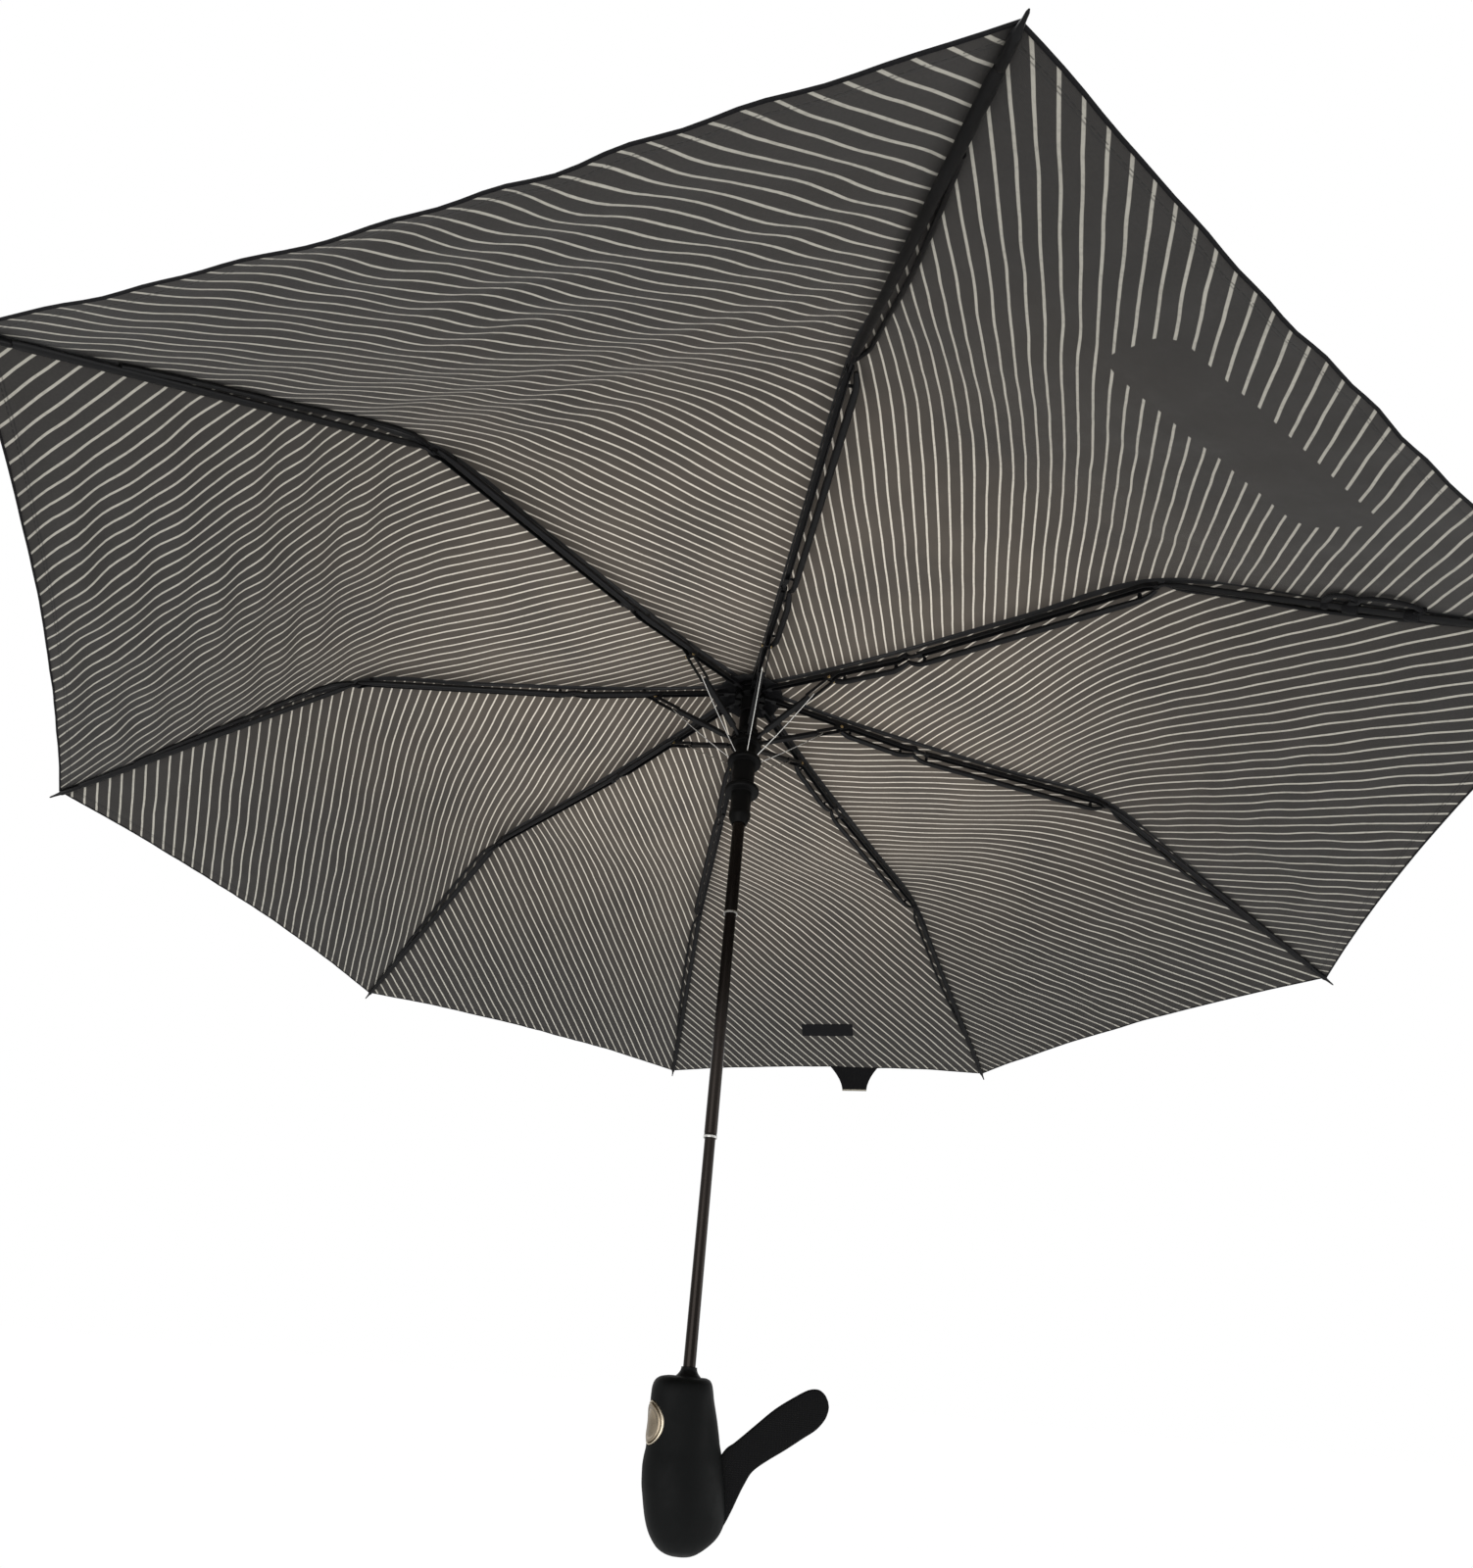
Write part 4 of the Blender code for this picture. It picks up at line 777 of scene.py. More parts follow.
def build_canopy():
    for rib in RIBS:
        for part, body, rest, low, high, rows in STRIPS:
            mesh, area = strip_mesh(f"cloth_{part}_{rib}", rib, low, high, rows)
            replaced = [f"canopy_gore_{rib}"] if part == "outer" else []
            made = piece(f"cloth_{part}_{rib}", mesh, None, f"{body}_{rib}", "canopy_fabric", *replaced)
            fold_with(made)
            if part == "outer":
                hem = tube_along(f"hem_{rib}", hem_path(rib), HEM_RADIUS, 8, 0.7)
                hem = piece(f"hem_{rib}", hem, BLACK_CLOTH, f"{body}_{rib}", "black_fabric")
                fold_with(hem)
                # the dark strip under panel 5 is painted shadow of a strap on the cloth's outside
                if rib in (STRAP_SHADOW_GORE, STRAP_SHADOW_GORE + 1):
                    strap_shadow_piece(rib)
            radius = canopy_line(np.array([low, high]))[0]


build_canopy()


# Ribs


def link_matrix(rib, pivot, slope):
    around = Matrix.Rotation(azimuth_of(rib), 4, "Z")
    out = Matrix.Translation((pivot[0], 0, height(pivot[1])))
    return around @ out @ Matrix.Rotation(-slope, 4, "Y")


# The outer link along its length: (place, half width, half height, rise of its middle)
TONGUE_END = 0.0095
OUTER_SECTIONS = (
    (-0.0020, 0.0005, 0.0006, 0.0), (-0.0016, 0.0010, 0.0012, 0.0), (-0.0006, 0.0011, 0.0019, 0.0),
    (0.0008, 0.0011, 0.0020, 0.0), (0.0024, 0.0011, 0.0018, 0.0006), (0.0048, 0.0011, 0.0014, 0.0020),
    (TONGUE_END, 0.0014, 0.0012, ELBOW_DROP), (0.0125, 0.0023, 0.0014, ELBOW_DROP),
    (0.0160, 0.0025, 0.0014, ELBOW_DROP), (OUTER_LENGTH - 0.016, 0.0025, 0.0014, ELBOW_DROP),
    (OUTER_LENGTH - 0.012, 0.0019, 0.0013, ELBOW_DROP),
)
# The outer link's tip, as (place from the link's end, radius)
TIP_SECTIONS = (
    (-0.0125, 0.0012), (-0.0120, 0.00165), (-0.0112, 0.0018), (-0.0010, 0.0018), (-0.0002, 0.00165),
    (0.0008, 0.00115), (0.0040, 0.00075), (0.0062, 0.0006), (0.0070, 0.0003),
)


def bar_rings(sections, matrix, sides=14):
    """Rings of a bar along X, from (place, half width, half height, rise) sections."""
    rings = []
    for place, wide, tall, rise in sections:
        ring = ellipse(Vector((place, 0, rise)), Vector((0, wide, 0)), Vector((0, 0, tall)), sides)
        rings.append([matrix @ point for point in ring])
    return rings


# The spring wire beside the outer link, from its elbow: (place, aside, rise above the link's line)
SPRING_LINE = np.array((
    (0.003, 0.0010, 0.0008), (0.009, 0.0042, 0.0022), (0.018, 0.0066, 0.0036), (0.060, 0.0068, 0.0056),
    (0.095, 0.0062, 0.0056), (0.130, 0.0046, 0.0036), (0.165, 0.0022, 0.0006),
))
SPRING_GAP = 0.0022
SPRING_RADIUS = 0.0013


def under_cloth(point, gap):
    """A point near rib 1, let down where it would come within this gap of the cloth."""
    cloth = np.interp(point.x + abs(point.y) * math.tan(HALF_GORE), TABLE_RADIUS, TABLE_RISE)
    return Vector((point.x, point.y, min(point.z, CROWN_Z + float(cloth) - gap)))


def spring_path(rib):
    """The spring wire's path."""
    local = link_matrix(1, ELBOW, OUTER_SLOPE)
    around = Matrix.Rotation(azimuth_of(rib), 4, "Z")
    path = []
    for place, aside, rise in curve_rows(SPRING_LINE):
        path.append(around @ under_cloth(local @ Vector((place, aside, ELBOW_DROP + rise)), SPRING_GAP))
    return path


ROD_RADIUS = 0.0024
ROD_TAPER = 0.0010
# The drive rods' outsides, from joint to joint: (place, aside, height above the link's pivot)
ROD_START = 0.0755
TOP_ROD = np.array((
    (ROD_START - 0.004, 0.0036, -0.0016), (ROD_START + 0.003, 0.0050, -0.0034),
    (ROD_START + 0.010, 0.0063, -0.0045), (TOP_LENGTH - 0.014, 0.0063, -0.0045),
    (TOP_LENGTH - 0.006, 0.0054, -0.0032), (TOP_LENGTH + 0.001, 0.0042, -0.0006),
))
MIDDLE_ROD = np.array((
    (-0.001, 0.0044, -0.0016), (0.005, 0.0058, -0.0050), (0.012, 0.0063, -0.0069),
    (MIDDLE_LENGTH - 0.012, 0.0063, -0.0069), (MIDDLE_LENGTH - 0.006, 0.0056, -0.0062),
    (MIDDLE_LENGTH - 0.001, 0.0040, -0.0048),
))
RODS = (
    ("top_link", TOP_ROD, CROWN_PIVOT, TOP_SLOPE), ("middle_link", MIDDLE_ROD, MIDDLE_JOINT, MIDDLE_SLOPE),
)


def build_rods():
    """The drive rods beside the top and middle links, bent in to the joints at their ends."""
    radii = [ROD_RADIUS - ROD_TAPER * abs(n / 20 - 1) ** 8 for n in range(41)]
    for body, line, pivot, slope in RODS:
        for rib in RIBS:
            matrix = link_matrix(rib, pivot, slope)
            rod = tube_along("rod", [matrix @ Vector(row) for row in curve_rows(line)], radii, 12)
            piece(f"{body}_rod_{rib}", rod, RIB_PAINT, f"{body}_{rib}", "rib_steel")


def build_outer_link(rib):
    body = f"outer_link_{rib}"
    matrix = link_matrix(rib, ELBOW, OUTER_SLOPE)
    mesh = mesh_of("outer_rib_wire", *loft(bar_rings(OUTER_SECTIONS, matrix)), 40)
    piece(f"outer_rib_wire_{rib}", mesh, RIB_PAINT, body, "rib_steel", f"outer_rib_{rib}")
    tips = [(OUTER_LENGTH + place, half, half, ELBOW_DROP) for place, half in TIP_SECTIONS]
    mesh = mesh_of("rib_tip", *loft(bar_rings(tips, matrix)), 40)
    piece(f"rib_tip_{rib}", mesh, RIB_PAINT, body, "rib_steel")
    spring = tube_along("outer_spring", spring_path(rib), SPRING_RADIUS, 10)
    piece(f"outer_spring_{rib}", spring, RIB_PAINT, body, "rib_steel")


# The helper wire's ends at the runner and the stretcher, and the hooks beyond them: (radius, depth)
HELPER_ENDS = ((0.0125, 0.0795), (0.0650, 0.0380))
HELPER_HOOKS = ((0.0125, 0.0830), (0.0668, 0.0362))
HELPER_SAG = 0.0012
# A rivet's head: (share of its height, radius), and how far aside it starts and ends
RIVET_HEAD = ((0, 0.0015), (0.6, 0.0015), (0.9, 0.0012), (1.0, 0.0006))
RIVET_ASIDE = (0.0033, 0.0041)


def build_helper_wire(rib):
    """The spring wire from the runner's collar to the stretcher, with a hook at each end."""
    start, end = (in_rib_plane(rib, *place) for place in HELPER_ENDS)
    first, last = (in_rib_plane(rib, *place) for place in HELPER_HOOKS)
    path = []
    for n in range(17):
        t = n / 16
        path.append(start.lerp(end, t) - Vector((0, 0, HELPER_SAG * math.sin(math.pi * t))))
    mesh = tube_along("helper_wire", [first, *path, last], WIRE_RADIUS, 8)
    wire = piece(f"helper_wire_{rib}", mesh, WIRE_STEEL, None, "bright_steel")
    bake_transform(wire)


def build_rivets(rib):
    """Brass rivet heads where the stretcher's fork carries the top link."""
    heads = []
    for aside in (-1, 1):
        inner, outer = (in_rib_plane(rib, *STRETCHER_JOINT, aside * far) for far in RIVET_ASIDE)
        path = [inner.lerp(outer, share) for share, _ in RIVET_HEAD]
        heads.append(rings_along(path, [radius for _, radius in RIVET_HEAD], 16))
    piece(f"stretcher_rivets_{rib}", joined("rivets", heads), BRASS, f"stretcher_link_{rib}", "bright_steel")


paint(RIB_PAINT, *(f"{name}_{rib}" for name in ("top_rib", "stretcher", "middle_rib") for rib in RIBS))
for each in RIBS:
    build_outer_link(each)
    build_helper_wire(each)
    build_rivets(each)
build_rods()


# Crown, runner, cap and shaft

BORE = 0.0049 + FIT
NOTCH_WIDTH = 0.0030
NOTCH_ROOT = 0.0082
NOTCH_REACH = 0.020
CROWN_NOTCH = (0.0036, 0.0136)
RUNNER_NOTCH = (0.0527, 0.0630)
CROWN_NECK = 0.0080
CROWN_HEAD_END = 0.013
CROWN_END = 0.028
RUNNER_TOP = 0.031
RUNNER_NECK = 0.0078
RUNNER_HEAD = 0.0130
RUNNER_HEAD_ENDS = (0.053, 0.066)
RUNNER_BODY = 0.0094
RUNNER_TAIL = 0.0083
RUNNER_FOOT = 0.0088
RUNNER_FOOT_ENDS = (0.1335, 0.1375)
RUNNER_END = 0.1450
COLLAR_TOPS = (0.0795, 0.1095)
COLLAR_RADIUS = 0.0143
COLLAR_TALL = 0.0050
COLLAR_LIP = 0.0016
CAP_RISE = 0.0110
CAP_STEM = (0.0042, 0.010)
CAP_RADIUS = 0.0090


def notch_boxes(top, end):
    low, high = (NOTCH_ROOT, -NOTCH_WIDTH / 2, height(end)), (NOTCH_REACH, NOTCH_WIDTH / 2, height(top))
    return boxes("notches", low, high, [Matrix.Rotation(azimuth_of(rib), 4, "Z") for rib in RIBS])


def wire_groove(outer, depth):
    """Rows of (radius, depth) round the groove that holds the ribs' hinge wire."""
    root, half = CROWN_PIVOT[0] - WIRE_RADIUS - FIT, WIRE_RADIUS + FIT
    return [(outer, depth - half), (root, depth - half), (root, depth + half), (outer, depth + half)]


def collar(top):
    """Rows of (radius, depth) down a rounded collar."""
    rows = []
    for n in range(9):
        turn = math.pi * n / 8
        radius = COLLAR_RADIUS - COLLAR_LIP + COLLAR_LIP * math.sin(turn) ** 0.6
        rows.append((radius, top + COLLAR_TALL * (1 - math.cos(turn)) / 2))
    return rows


def build_hub():
    profile = down((BORE, 0), (CROWN_RADIUS, 0), *wire_groove(CROWN_RADIUS, CROWN_PIVOT[1]),
                   (CROWN_RADIUS, CROWN_HEAD_END), (CROWN_NECK, CROWN_HEAD_END),
                   (CROWN_NECK, CROWN_END), (BORE, CROWN_END))
    crown = cut_mesh(turned("crown_body", softened(profile, 0.0006), 72), notch_boxes(*CROWN_NOTCH))
    piece("crown_body", crown, PLASTIC, "upper_shaft", "black_plastic", "crown")

    head_top, head_end = RUNNER_HEAD_ENDS
    foot_top, foot_end = RUNNER_FOOT_ENDS
    upper, lower = COLLAR_TOPS
    profile = down((BORE, RUNNER_TOP), (RUNNER_NECK, RUNNER_TOP), (RUNNER_NECK, head_top),
                   (RUNNER_HEAD, head_top), *wire_groove(RUNNER_HEAD, RUNNER_PIVOT[1]),
                   (RUNNER_HEAD, head_end), (RUNNER_BODY, head_end),
                   (RUNNER_BODY, upper), *collar(upper), (RUNNER_BODY, upper + COLLAR_TALL),
                   (RUNNER_BODY, lower), *collar(lower), (RUNNER_TAIL, lower + COLLAR_TALL),
                   (RUNNER_TAIL, foot_top), (RUNNER_FOOT, foot_top), (RUNNER_FOOT, foot_end),
                   (0.0060, RUNNER_END), (BORE, RUNNER_END))
    runner = cut_mesh(turned("runner_body", softened(profile, 0.0005), 72), notch_boxes(*RUNNER_NOTCH))
    piece("runner_body", runner, PLASTIC, "runner", "black_plastic", "runner")

    seat = CROWN_Z + 3 * FIT + 2 * FABRIC
    top = CROWN_Z + CAP_RISE
    stem, foot = CAP_STEM
    profile = [(0, height(foot)), (stem, height(foot)), (stem, seat), (CAP_RADIUS, seat),
               (CAP_RADIUS, seat + 0.0020), (0.0085, seat + 0.0055), (0.0066, top - 0.0016),
               (0.0040, top), (0, top)]
    piece("cap_dome", turned("cap_dome", softened(profile, 0.0012, 4), 64), PLASTIC, "upper_shaft",
          "black_plastic", "top_cap")
    paint(WIRE_STEEL, "crown_wire", "runner_wire", "strap_pin")
    paint(PLASTIC, "grip_core")


def build_rosette():
    """The eight-sided black patch between the crown and the canopy, which droops over the ribs' roots."""
    seat, rim = CROWN_Z + FIT, CROWN_Z - ROSETTE_DROP
    lower = [(BORE, seat)]
    for n in range(13):
        t = n / 12
        lower.append((CROWN_CORNER + (ROSETTE_RADIUS - CROWN_CORNER) * t, seat + (rim - seat) * t**1.15))
    profile = lower + [(r, z + FABRIC) for r, z in lower[::-1]]
    rings = []
    for turn in turns(96):
        flat = math.cos(HALF_GORE) / math.cos(turn % (2 * HALF_GORE) - HALF_GORE)
        rings.append([])
        for r, z in profile:
            t = max((r - CROWN_CORNER) / (ROSETTE_RADIUS - CROWN_CORNER), 0)
            reach = r * (1 + (flat - 1) * t)
            sag = 0.0005 * t * math.cos(2 * RIB_COUNT * turn)
            rings[-1].append(Vector((reach * math.cos(turn), reach * math.sin(turn), z + sag)))
    made = piece("rosette_cloth", mesh_of("rosette_cloth", *loft(rings, True)), BLACK_CLOTH, "upper_shaft",
                 "black_fabric", "crown_rosette")


TUBES = (
    ("upper_tube", "upper_shaft", 0.0049, 0.002, 0.225),
    ("middle_tube", "middle_shaft", 0.0042, 0.195, 0.385),
    ("lower_tube", "grip", 0.0035, 0.355, 0.562),
)


def build_shaft():
    wall, dent, lip = 0.0004, 0.00012, 0.00025
    for name, body, radius, top, end in TUBES:
        profile = down((radius - wall, top), (radius, top), (radius, end - 0.0030),
                       (radius - dent, end - 0.0026), (radius - dent, end - 0.0020),
                       (radius, end - 0.0016), (radius, end - 0.0010),
                       (radius - wall * 0.7, end), (radius - wall, end))
        piece(f"{name}_steel", turned(name, profile, 56, 50), TUBE_STEEL, body, "shaft_steel", name)
        if name != "lower_tube":
            ring = softened(down((radius - wall, end + 0.0004), (radius - wall, end - 0.0012),
                                 (radius + lip, end - 0.0012), (radius + lip, end + 0.0004)), 0.0002)
            piece(f"{name}_ring", turned(f"{name}_ring", ring, 56), WIRE_STEEL, body, "bright_steel")


def coil(name, start, end, radius, wire, rounds):
    """A spring of round wire between two points."""
    run = (end - start).normalized()
    aside = run.orthogonal().normalized()
    over = run.cross(aside)
    path = []
    for n in range(16 * rounds + 1):
        turn = math.tau * n / 16
        off = aside * math.cos(turn) + over * math.sin(turn)
        path.append(start.lerp(end, n / (16 * rounds)) + radius * off)
    return tube_along(name, path, wire, 8, up=run)


def build_main_spring():
    """The spring in the upper tube, which the middle tube presses together as the shaft closes."""
    top, end = Vector((0, 0, height(0.0107))), Vector((0, 0, height(0.1942)))
    mesh = coil("main_spring_coil", top, end, 0.0038, 0.0004, 10)
    made = piece("main_spring_coil", mesh, WIRE_STEEL, "upper_shaft", "bright_steel", "main_spring")
    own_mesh(made)


build_hub()
build_main_spring()
build_rosette()
build_shaft()


# Grip, button and strap

GRIP_RADIUS = 0.0206
GRIP_BORE = 0.0108
GRIP_FRONT_AZIMUTH = math.radians(-73)
BUTTON_DEPTH = 0.0215
BUTTON_RADIUS = 0.0085
BEZEL_WALL = 0.0009
BEZEL_BACK = 0.0125
PLATE_BACK = 0.0120
POCKET_ENDS = (0.0088, 0.0260)
BUTTON_COIL_ENDS = (0.0059, 0.0114)
FLARE_RISE = 0.0045
FLARE_RADII = (0.0038, 0.0044, 0.0068)
STRAP_THICKNESS = 0.0026
STRAP_PIN = (0.0145, 0.5765)
STRAP_SLOT_DEPTH = 0.0275
STRAP_SLOT_ROOT = 0.0112
STRAP_REACH = 0.0652
STRAP_RISE = 0.0645
GRIP_STATION_SHARES = np.array((
    (0.000, 0.56, 0.48, 0.48, 0.00), (0.006, 0.70, 0.56, 0.57, 0.00), (0.015, 0.80, 0.60, 0.65, 0.00),
    (0.035, 0.90, 0.64, 0.73, 0.00), (0.075, 0.96, 0.68, 0.78, 0.00), (0.120, 0.97, 0.72, 0.79, 0.00),
    (0.250, 0.96, 0.88, 0.80, 0.00), (0.380, 0.95, 1.01, 0.81, 0.00), (0.430, 0.96, 1.06, 0.82, 0.01),
    (0.480, 1.00, 1.10, 0.84, 0.02), (0.540, 1.02, 1.14, 0.86, 0.03), (0.620, 1.02, 1.18, 0.88, 0.06),
    (0.700, 0.99, 1.19, 0.87, 0.10), (0.780, 0.95, 1.17, 0.84, 0.14), (0.840, 0.90, 1.07, 0.78, 0.17),
    (0.890, 0.83, 0.91, 0.70, 0.20), (0.930, 0.73, 0.69, 0.59, 0.22), (0.965, 0.58, 0.45, 0.44, 0.23),
    (0.990, 0.34, 0.24, 0.19, 0.25), (1.000, 0.00, 0.00, 0.00, 0.25),
))
FRONT = Vector((math.cos(GRIP_FRONT_AZIMUTH), math.sin(GRIP_FRONT_AZIMUTH), 0))
ASIDE = Vector((-FRONT.y, FRONT.x, 0))


def grip_ring(place):
    ahead, behind, beside, back = through(GRIP_STATION_SHARES, place) * GRIP_RADIUS
    centre = Vector((0, 0, height(SHAFT_LENGTH + place * GRIP_LENGTH))) - FRONT * back
    ring = []
    for turn in turns(96):
        # the front and back halves meet smoothly
        share = 0.5 + 0.5 * math.cos(turn)
        share = share * share * (3 - 2 * share)
        deep = behind + (ahead - behind) * share
        ring.append(centre + FRONT * deep * math.cos(turn) + ASIDE * beside * math.sin(turn))
    return ring


def front_distance(aside, depth):
    """How far the grip's face lies in front of the axis at this place."""
    ahead, _, beside, back = through(GRIP_STATION_SHARES, (depth - SHAFT_LENGTH) / GRIP_LENGTH) * GRIP_RADIUS
    return ahead * math.sqrt(max(1 - (aside / beside) ** 2, 0.05)) - back


def on_face(radius, turn, proud, distance=None):
    """A point at this radius and turn about the button's axis, proud of the grip's face or at a distance."""
    aside, up = radius * math.cos(turn), radius * math.sin(turn)
    depth = SHAFT_LENGTH + BUTTON_DEPTH - up
    out = front_distance(aside, depth) + proud if distance is None else distance
    return FRONT * out + ASIDE * aside + Vector((0, 0, height(depth)))


def face_disc(profile, steps=80):
    """Rings about the button's axis from (radius, proud, distance) rows."""
    return [[on_face(radius, turn, proud, distance) for turn in turns(steps)]
            for radius, proud, distance in profile]


def build_shell():
    places = [0, 0.002, 0.005, 0.009] + list(np.linspace(0.014, 0.10, 10)) + list(np.linspace(0.12, 0.90, 60))
    places += [0.92, 0.935, 0.95, 0.962, 0.972, 0.98, 0.987, 0.992, 0.996, 0.999]
    shell = mesh_of("grip_body", *loft([grip_ring(place) for place in places]), 40)
    bore = GRIP_BORE - 0.002
    shell = cut_mesh(shell, turned("bore", down((0, 0.520), (bore, 0.520), (bore, 0.508), (0, 0.508)), 64))
    radius = BUTTON_RADIUS + BEZEL_WALL + 2 * FIT
    pocket = face_disc([(radius, 0, distance) for distance in POCKET_ENDS], 72)
    shell = cut_mesh(shell, mesh_of("pocket", *loft(pocket)))
    half = STRAP_THICKNESS / 2 + FIT
    low, high = height(SHAFT_LENGTH + GRIP_LENGTH + 0.004), height(SHAFT_LENGTH + STRAP_SLOT_DEPTH)
    slot = boxes("slot", (-half, STRAP_SLOT_ROOT, low), (half, 1.5 * GRIP_RADIUS, high), [Matrix()])
    piece("grip_body", smooth(cut_mesh(shell, slot), 40), RUBBER, "grip", "grip_rubber", "grip_shell")


def build_grip():
    build_shell()

    bore, narrow, wide = FLARE_RADII
    top = height(SHAFT_LENGTH - FLARE_RISE)
    foot = height(SHAFT_LENGTH - FIT)
    profile = [(bore, foot - 0.002), (bore, top)]
    for n in range(9):
        t = n / 8
        profile.append((narrow + (wide - narrow) * t**2.2, top + (foot - top) * t))
    profile.append((wide, foot - 0.002))
    piece("shaft_flare", turned("shaft_flare", profile, 56, 60), PLASTIC, "grip", "black_plastic",
          "grip_collar")

    inner = BUTTON_RADIUS + FIT
    outer = inner + BEZEL_WALL
    profile = [(inner, None, BEZEL_BACK), (inner, -0.0002, None), (inner + 0.0002, 0.0002, None),
               (inner + 0.0005, 0.0004, None), (outer - 0.0005, 0.0004, None),
               (outer - 0.0002, 0.0002, None), (outer, -0.0002, None), (outer, None, BEZEL_BACK)]
    piece("bezel_ring", mesh_of("bezel_ring", *loft(face_disc(profile), True), 60), CHAMPAGNE, "grip",
          "champagne_metal", "button_bezel")
    profile = [(0.00001, None, PLATE_BACK), (BUTTON_RADIUS, None, PLATE_BACK), (BUTTON_RADIUS, -0.0001, None)]
    profile += [(BUTTON_RADIUS - inset, proud, None) for inset, proud in (
        (0.0001, 0.0003), (0.0004, 0.0007), (0.0009, 0.0008), (0.0014, 0.0007), (0.0018, 0.00025),
        (0.0024, 0.00015))]
    profile += [(BUTTON_RADIUS * s, 0.00015 + 0.0005 * (1 - (s / 0.78) ** 2), None)
                for s in (0.66, 0.52, 0.38, 0.24, 0.12)]
    profile.append((0.00001, 0.00065, None))
    piece("button_plate", mesh_of("button_plate", *loft(face_disc(profile)), 60), PLATE, "button",
          "champagne_metal", "release_button")
    middle = Vector((0, 0, height(SHAFT_LENGTH + BUTTON_DEPTH)))
    foot, head = (middle + FRONT * distance for distance in BUTTON_COIL_ENDS)
    spring = coil("button_coil", foot, head, 0.0026, 0.0003, 4)
    spring = piece("button_coil", spring, WIRE_STEEL, None, "bright_steel", "button_spring")
    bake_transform(spring)


# The strap's two edges from its pin: out and up along the upper one, out and up along the lower one
STRAP_EDGE_SHARES = (
    (-0.026, 0.101, 0.077, -0.031), (-0.005, 0.225, 0.153, 0.031), (0.031, 0.364, 0.215, 0.132),
    (0.129, 0.518, 0.262, 0.225), (0.209, 0.577, 0.307, 0.307), (0.291, 0.640, 0.368, 0.395),
    (0.383, 0.713, 0.475, 0.468), (0.537, 0.831, 0.630, 0.555), (0.690, 0.922, 0.775, 0.642),
    (0.816, 0.986, 0.891, 0.712), (0.897, 1.000, 0.963, 0.783), (0.959, 0.972, 0.992, 0.839),
    (0.992, 0.922, 1.000, 0.882),
)
# Half of the band's section as shares of (half width, half thickness): two plies, creased at the edge
BAND_SECTION = (
    (0.985, 0.0), (0.9975, 0.45), (0.955, 0.85), (0.86, 1.0), (0.5, 0.97), (0.0, 0.95),
    (-0.5, 0.97), (-0.86, 1.0), (-0.955, 0.85), (-0.9975, 0.45), (-0.985, 0.0),
)


def build_strap():
    """The wrist strap: webbing laid double, seen on its broad side, with a round end."""
    root, depth = STRAP_PIN
    stations = [(0.0, root - 0.0020, depth - 0.0012, root + 0.0008, depth + 0.0026)]
    for n, (out, up, low_out, low_up) in enumerate(STRAP_EDGE_SHARES, 1):
        stations.append((n, root + out * STRAP_REACH, depth - up * STRAP_RISE,
                         root + low_out * STRAP_REACH, depth - low_up * STRAP_RISE))
    half = STRAP_THICKNESS / 2
    section = BAND_SECTION + tuple((across, -thick) for across, thick in BAND_SECTION[-2:0:-1])
    rings = []
    for _, *edges in curve_rows(np.array(stations), 66):
        upper, lower = Vector(edges[:2]), Vector(edges[2:])
        middle, reach = (upper + lower) / 2, (upper - lower) / 2
        soft = min(half, reach.length * 0.8)
        rings.append([Vector((soft * thick, middle.x + reach.x * across, height(middle.y + reach.y * across)))
                      for across, thick in section])
    piece("strap_band", mesh_of("strap_band", *loft(rings), 50), WEBBING, "strap", "strap_webbing",
          "wrist_strap")


build_grip()
build_strap()


# Small things on the canopy

# Cloth loops tied round outer rib 8: (along the link, aside, rise above its line)
LOOP_RIB = 8
LOOPS = (
    ((0.0970, 0.0, 0.0010), (0.0955, -0.0085, 0.0040), (0.1020, -0.0125, 0.0050),
     (0.1085, -0.0085, 0.0042), (0.1090, 0.0, 0.0010)),
    ((0.1090, 0.0, 0.0012), (0.1095, -0.0090, 0.0044), (0.1180, -0.0130, 0.0052),
     (0.1300, -0.0115, 0.0050), (0.1380, -0.0060, 0.0034), (0.1390, 0.0, 0.0010)),
)
WRAPS = ((0.0955, 0.0985, 0.0029), (0.1060, 0.1130, 0.0035), (0.1345, 0.1405, 0.0032))
TIE_GORE = 5
TIE_OFFSET = 0.041
TIE_TOP_WIDTH = 0.056
TIE_END_WIDTH = 0.028
LOOP_GAP = 0.0034
LOOP_HALF_WIDTH = 0.0026
LOOP_HALF_THICKNESS = 0.0011
TAB_HALF_THICKNESS = 0.00045
TAB_EDGE_RADIUS = 0.0009


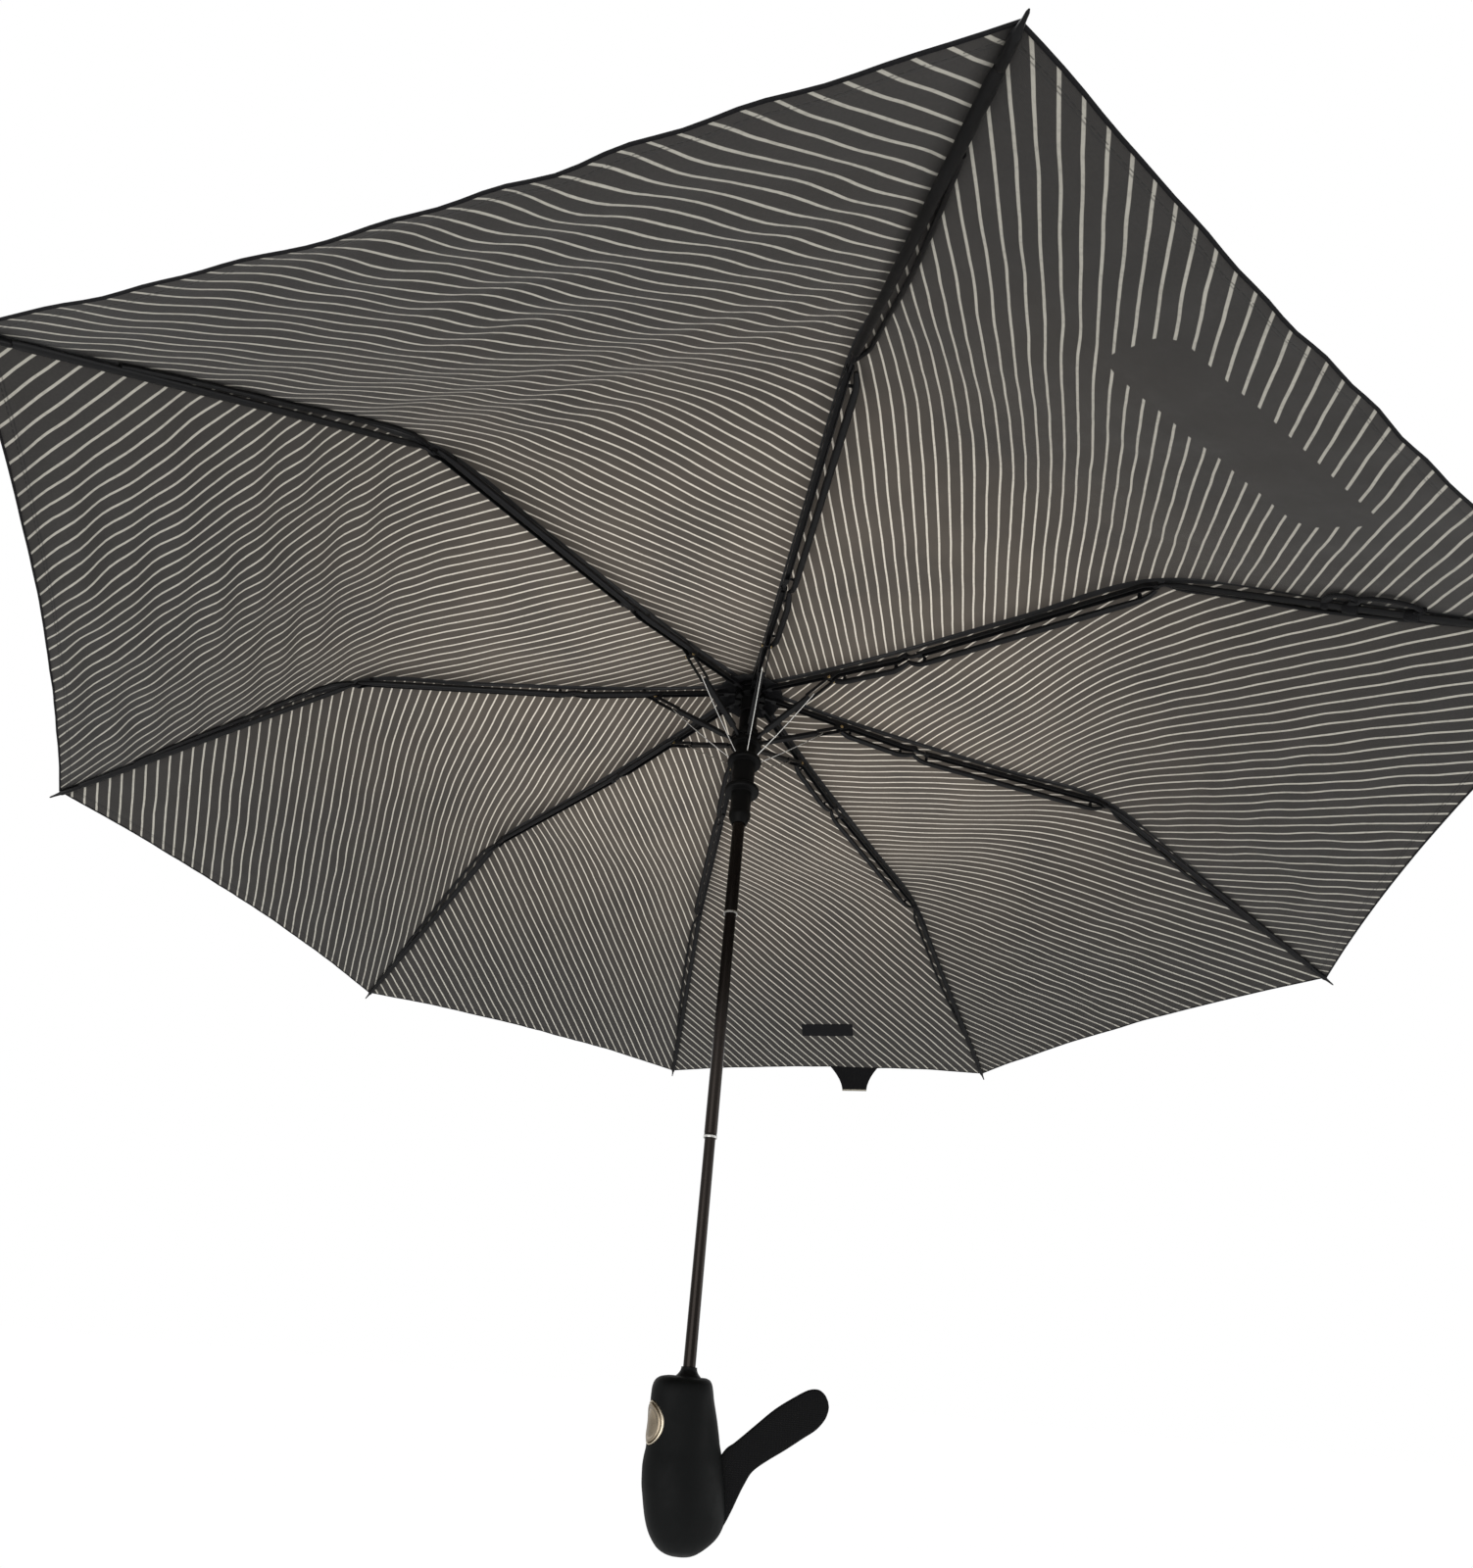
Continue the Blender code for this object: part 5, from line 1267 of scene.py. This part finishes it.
def build_closing_tab():
    """The tapered tab below the hem, with a bound end."""
    low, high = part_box("tie_strap")
    out, across = map(Vector, panel_axes(TIE_GORE))
    reach = (Vector((low.x + high.x, low.y + high.y, 0)) / 2).dot(out)
    rows, columns = 14, 12
    rings = []
    for r in range(rows + 1):
        t = r / rows
        half = TIE_END_WIDTH / 2 + (TIE_TOP_WIDTH - TIE_END_WIDTH) / 2 * (1 - t) ** 1.8
        row = []
        for c in range(columns + 1):
            s = 2 * c / columns - 1
            bow = 0.0002 * math.sin(math.pi * t) * (1 - s * s)
            place = out * (reach + bow) + across * (TIE_OFFSET + s * half)
            row.append(place + Vector((0, 0, high.z + (low.z - high.z) * t)))
        proud = out * TAB_HALF_THICKNESS
        rings.append([p - proud for p in row] + [p + proud for p in row[::-1]])
    rib = TIE_GORE + 1
    body = f"outer_link_{rib}"
    mesh = mesh_of("closing_tab", *loft(rings))
    tab = piece("closing_tab", mesh, BLACK_CLOTH, body, "black_fabric", "tie_strap")
    fold_with(tab)
    middle = out * reach + across * TIE_OFFSET + Vector((0, 0, low.z + TAB_EDGE_RADIUS))
    path = [middle + across * (s * TIE_END_WIDTH / 2) for s in (-1, -0.5, 0, 0.5, 1)]
    bound = tube_along("tab_edge", path, TAB_EDGE_RADIUS, 10)
    edge = piece("closing_tab_edge", bound, THREAD, body, "black_fabric")
    fold_with(edge)


def build_loops():
    """The loops and wraps of black tape tied to one outer rib, as one knotted length."""
    local = link_matrix(1, ELBOW, OUTER_SLOPE) @ Matrix.Translation((0, 0, ELBOW_DROP))
    around = Matrix.Rotation(azimuth_of(LOOP_RIB), 4, "Z")
    parts = []
    for line in LOOPS:
        stations = np.array([(n, *place) for n, place in enumerate(line)])
        path = [under_cloth(local @ Vector(place), LOOP_GAP) for _, *place in curve_rows(stations, 33)]
        rings = []
        for n, point in enumerate(path):
            run = run_at(path, n)
            broad = (local.to_3x3() @ Vector((0, 0.9, 0.4))).cross(run).cross(run).normalized()
            thin = run.cross(broad)
            rings.append(ellipse(point, broad * LOOP_HALF_WIDTH, thin * LOOP_HALF_THICKNESS, 12))
        parts.append(rings)
    for start, end, radius in WRAPS:
        sections = []
        for n in range(9):
            t = n / 8
            waist = radius * (0.86 + 0.14 * math.sin(math.pi * t) ** 0.4 + 0.03 * math.cos(19 * t))
            sections.append((start + (end - start) * t, waist * 1.05, waist * 0.8, 0))
        parts.append(bar_rings(sections, local, 20))
    parts = [[[around @ point for point in ring] for ring in rings] for rings in parts]
    piece("tape_loops", joined("tape_loops", parts, 60), BLACK_CLOTH, f"outer_link_{LOOP_RIB}",
          "black_fabric")


build_closing_tab()
build_loops()


# Camera, light and floor


LIGHTS = (
    ("front_light", (1.5, -0.8, -0.35), 1.6, 17.0),
    ("side_light", (0.2, 1.7, -0.25), 1.4, 9.0),
    ("top_light", (0.3, 0.2, 3.2), 4.0, 75.0),
)
FLOOR_HALF = 40
FLOOR_Z = -1.2


def build_camera():
    camera = placed("camera", bpy.data.cameras.new("camera"))
    right, up, back = (0.1485, 0.9854, 0.0835), (0.5306, -0.1508, 0.8340), (0.8345, -0.0796, -0.5453)
    turn = Matrix((right, up, back)).transposed().to_4x4()
    camera.matrix_world = Matrix.Translation((0.5413, -0.0606, 0.04735)) @ turn
    camera.data.lens = 18.714
    camera.data.sensor_width = 36
    camera.data.sensor_fit = "AUTO"
    camera.data.shift_x, camera.data.shift_y = 0.0059, 0.0275
    camera.data.clip_start, camera.data.clip_end = 0.01, 100
    bpy.context.scene.camera = camera


def build_lights():
    for name, place, size, power in LIGHTS:
        light = bpy.data.lights.new(name, "AREA")
        light.size, light.energy = size, power
        made = placed(name, light)
        made.location = place
        aim = Vector((0, 0, 0.35)) - Vector(place)
        made.rotation_mode = "QUATERNION"
        made.rotation_quaternion = aim.to_track_quat("-Z", "Y")


def build_world():
    """White where the camera, gloss or glass sees it, and dimmer as a light."""
    world = bpy.data.worlds.new("studio")
    bpy.context.scene.world = world
    world.use_nodes = True
    tree = world.node_tree
    rays = tree.nodes.new("ShaderNodeLightPath").outputs
    seen = rays["Is Camera Ray"]
    for output in ("Is Glossy Ray", "Is Transmission Ray"):
        most = tree.nodes.new("ShaderNodeMath")
        most.operation = "MAXIMUM"
        tree.links.new(seen, most.inputs[0])
        tree.links.new(rays[output], most.inputs[1])
        seen = most.outputs[0]
    strength = tree.nodes.new("ShaderNodeMapRange")
    strength.inputs["To Min"].default_value = 0.6
    strength.inputs["To Max"].default_value = 1.0
    tree.links.new(seen, strength.inputs["Value"])
    background = tree.nodes["Background"]
    background.inputs["Color"].default_value = (1, 1, 1, 1)
    tree.links.new(strength.outputs["Result"], background.inputs["Strength"])


def build_floor():
    corners = [(x * FLOOR_HALF, y * FLOOR_HALF, FLOOR_Z) for x, y in ((-1, -1), (1, -1), (1, 1), (-1, 1))]
    mesh = bpy.data.meshes.new("floor")
    mesh.from_pydata(corners, [], [(0, 1, 2, 3)])
    f = Finish("pale_floor", 0.8, Specular_IOR_Level=0.2)
    f.finish((0.92, 0.92, 0.92))
    glow = f.node("ShaderNodeEmission", {"Color": (1, 1, 1, 1), "Strength": 1.04})
    path = f.node("ShaderNodeLightPath")
    share = f.times(path.outputs["Is Camera Ray"], 0.92)
    mixed = f.node("ShaderNodeMixShader", {0: share, 1: f.shader.outputs[0], 2: glow.outputs[0]})
    output = next(n for n in f.tree.nodes if n.type == "OUTPUT_MATERIAL")
    f.tree.links.new(mixed.outputs[0], output.inputs["Surface"])
    floor = placed("floor", mesh)
    mesh.materials.append(f.made)


def build_studio():
    build_camera()
    build_lights()
    build_world()
    build_floor()
    bpy.context.scene.view_settings.view_transform = "Standard"


build_studio()
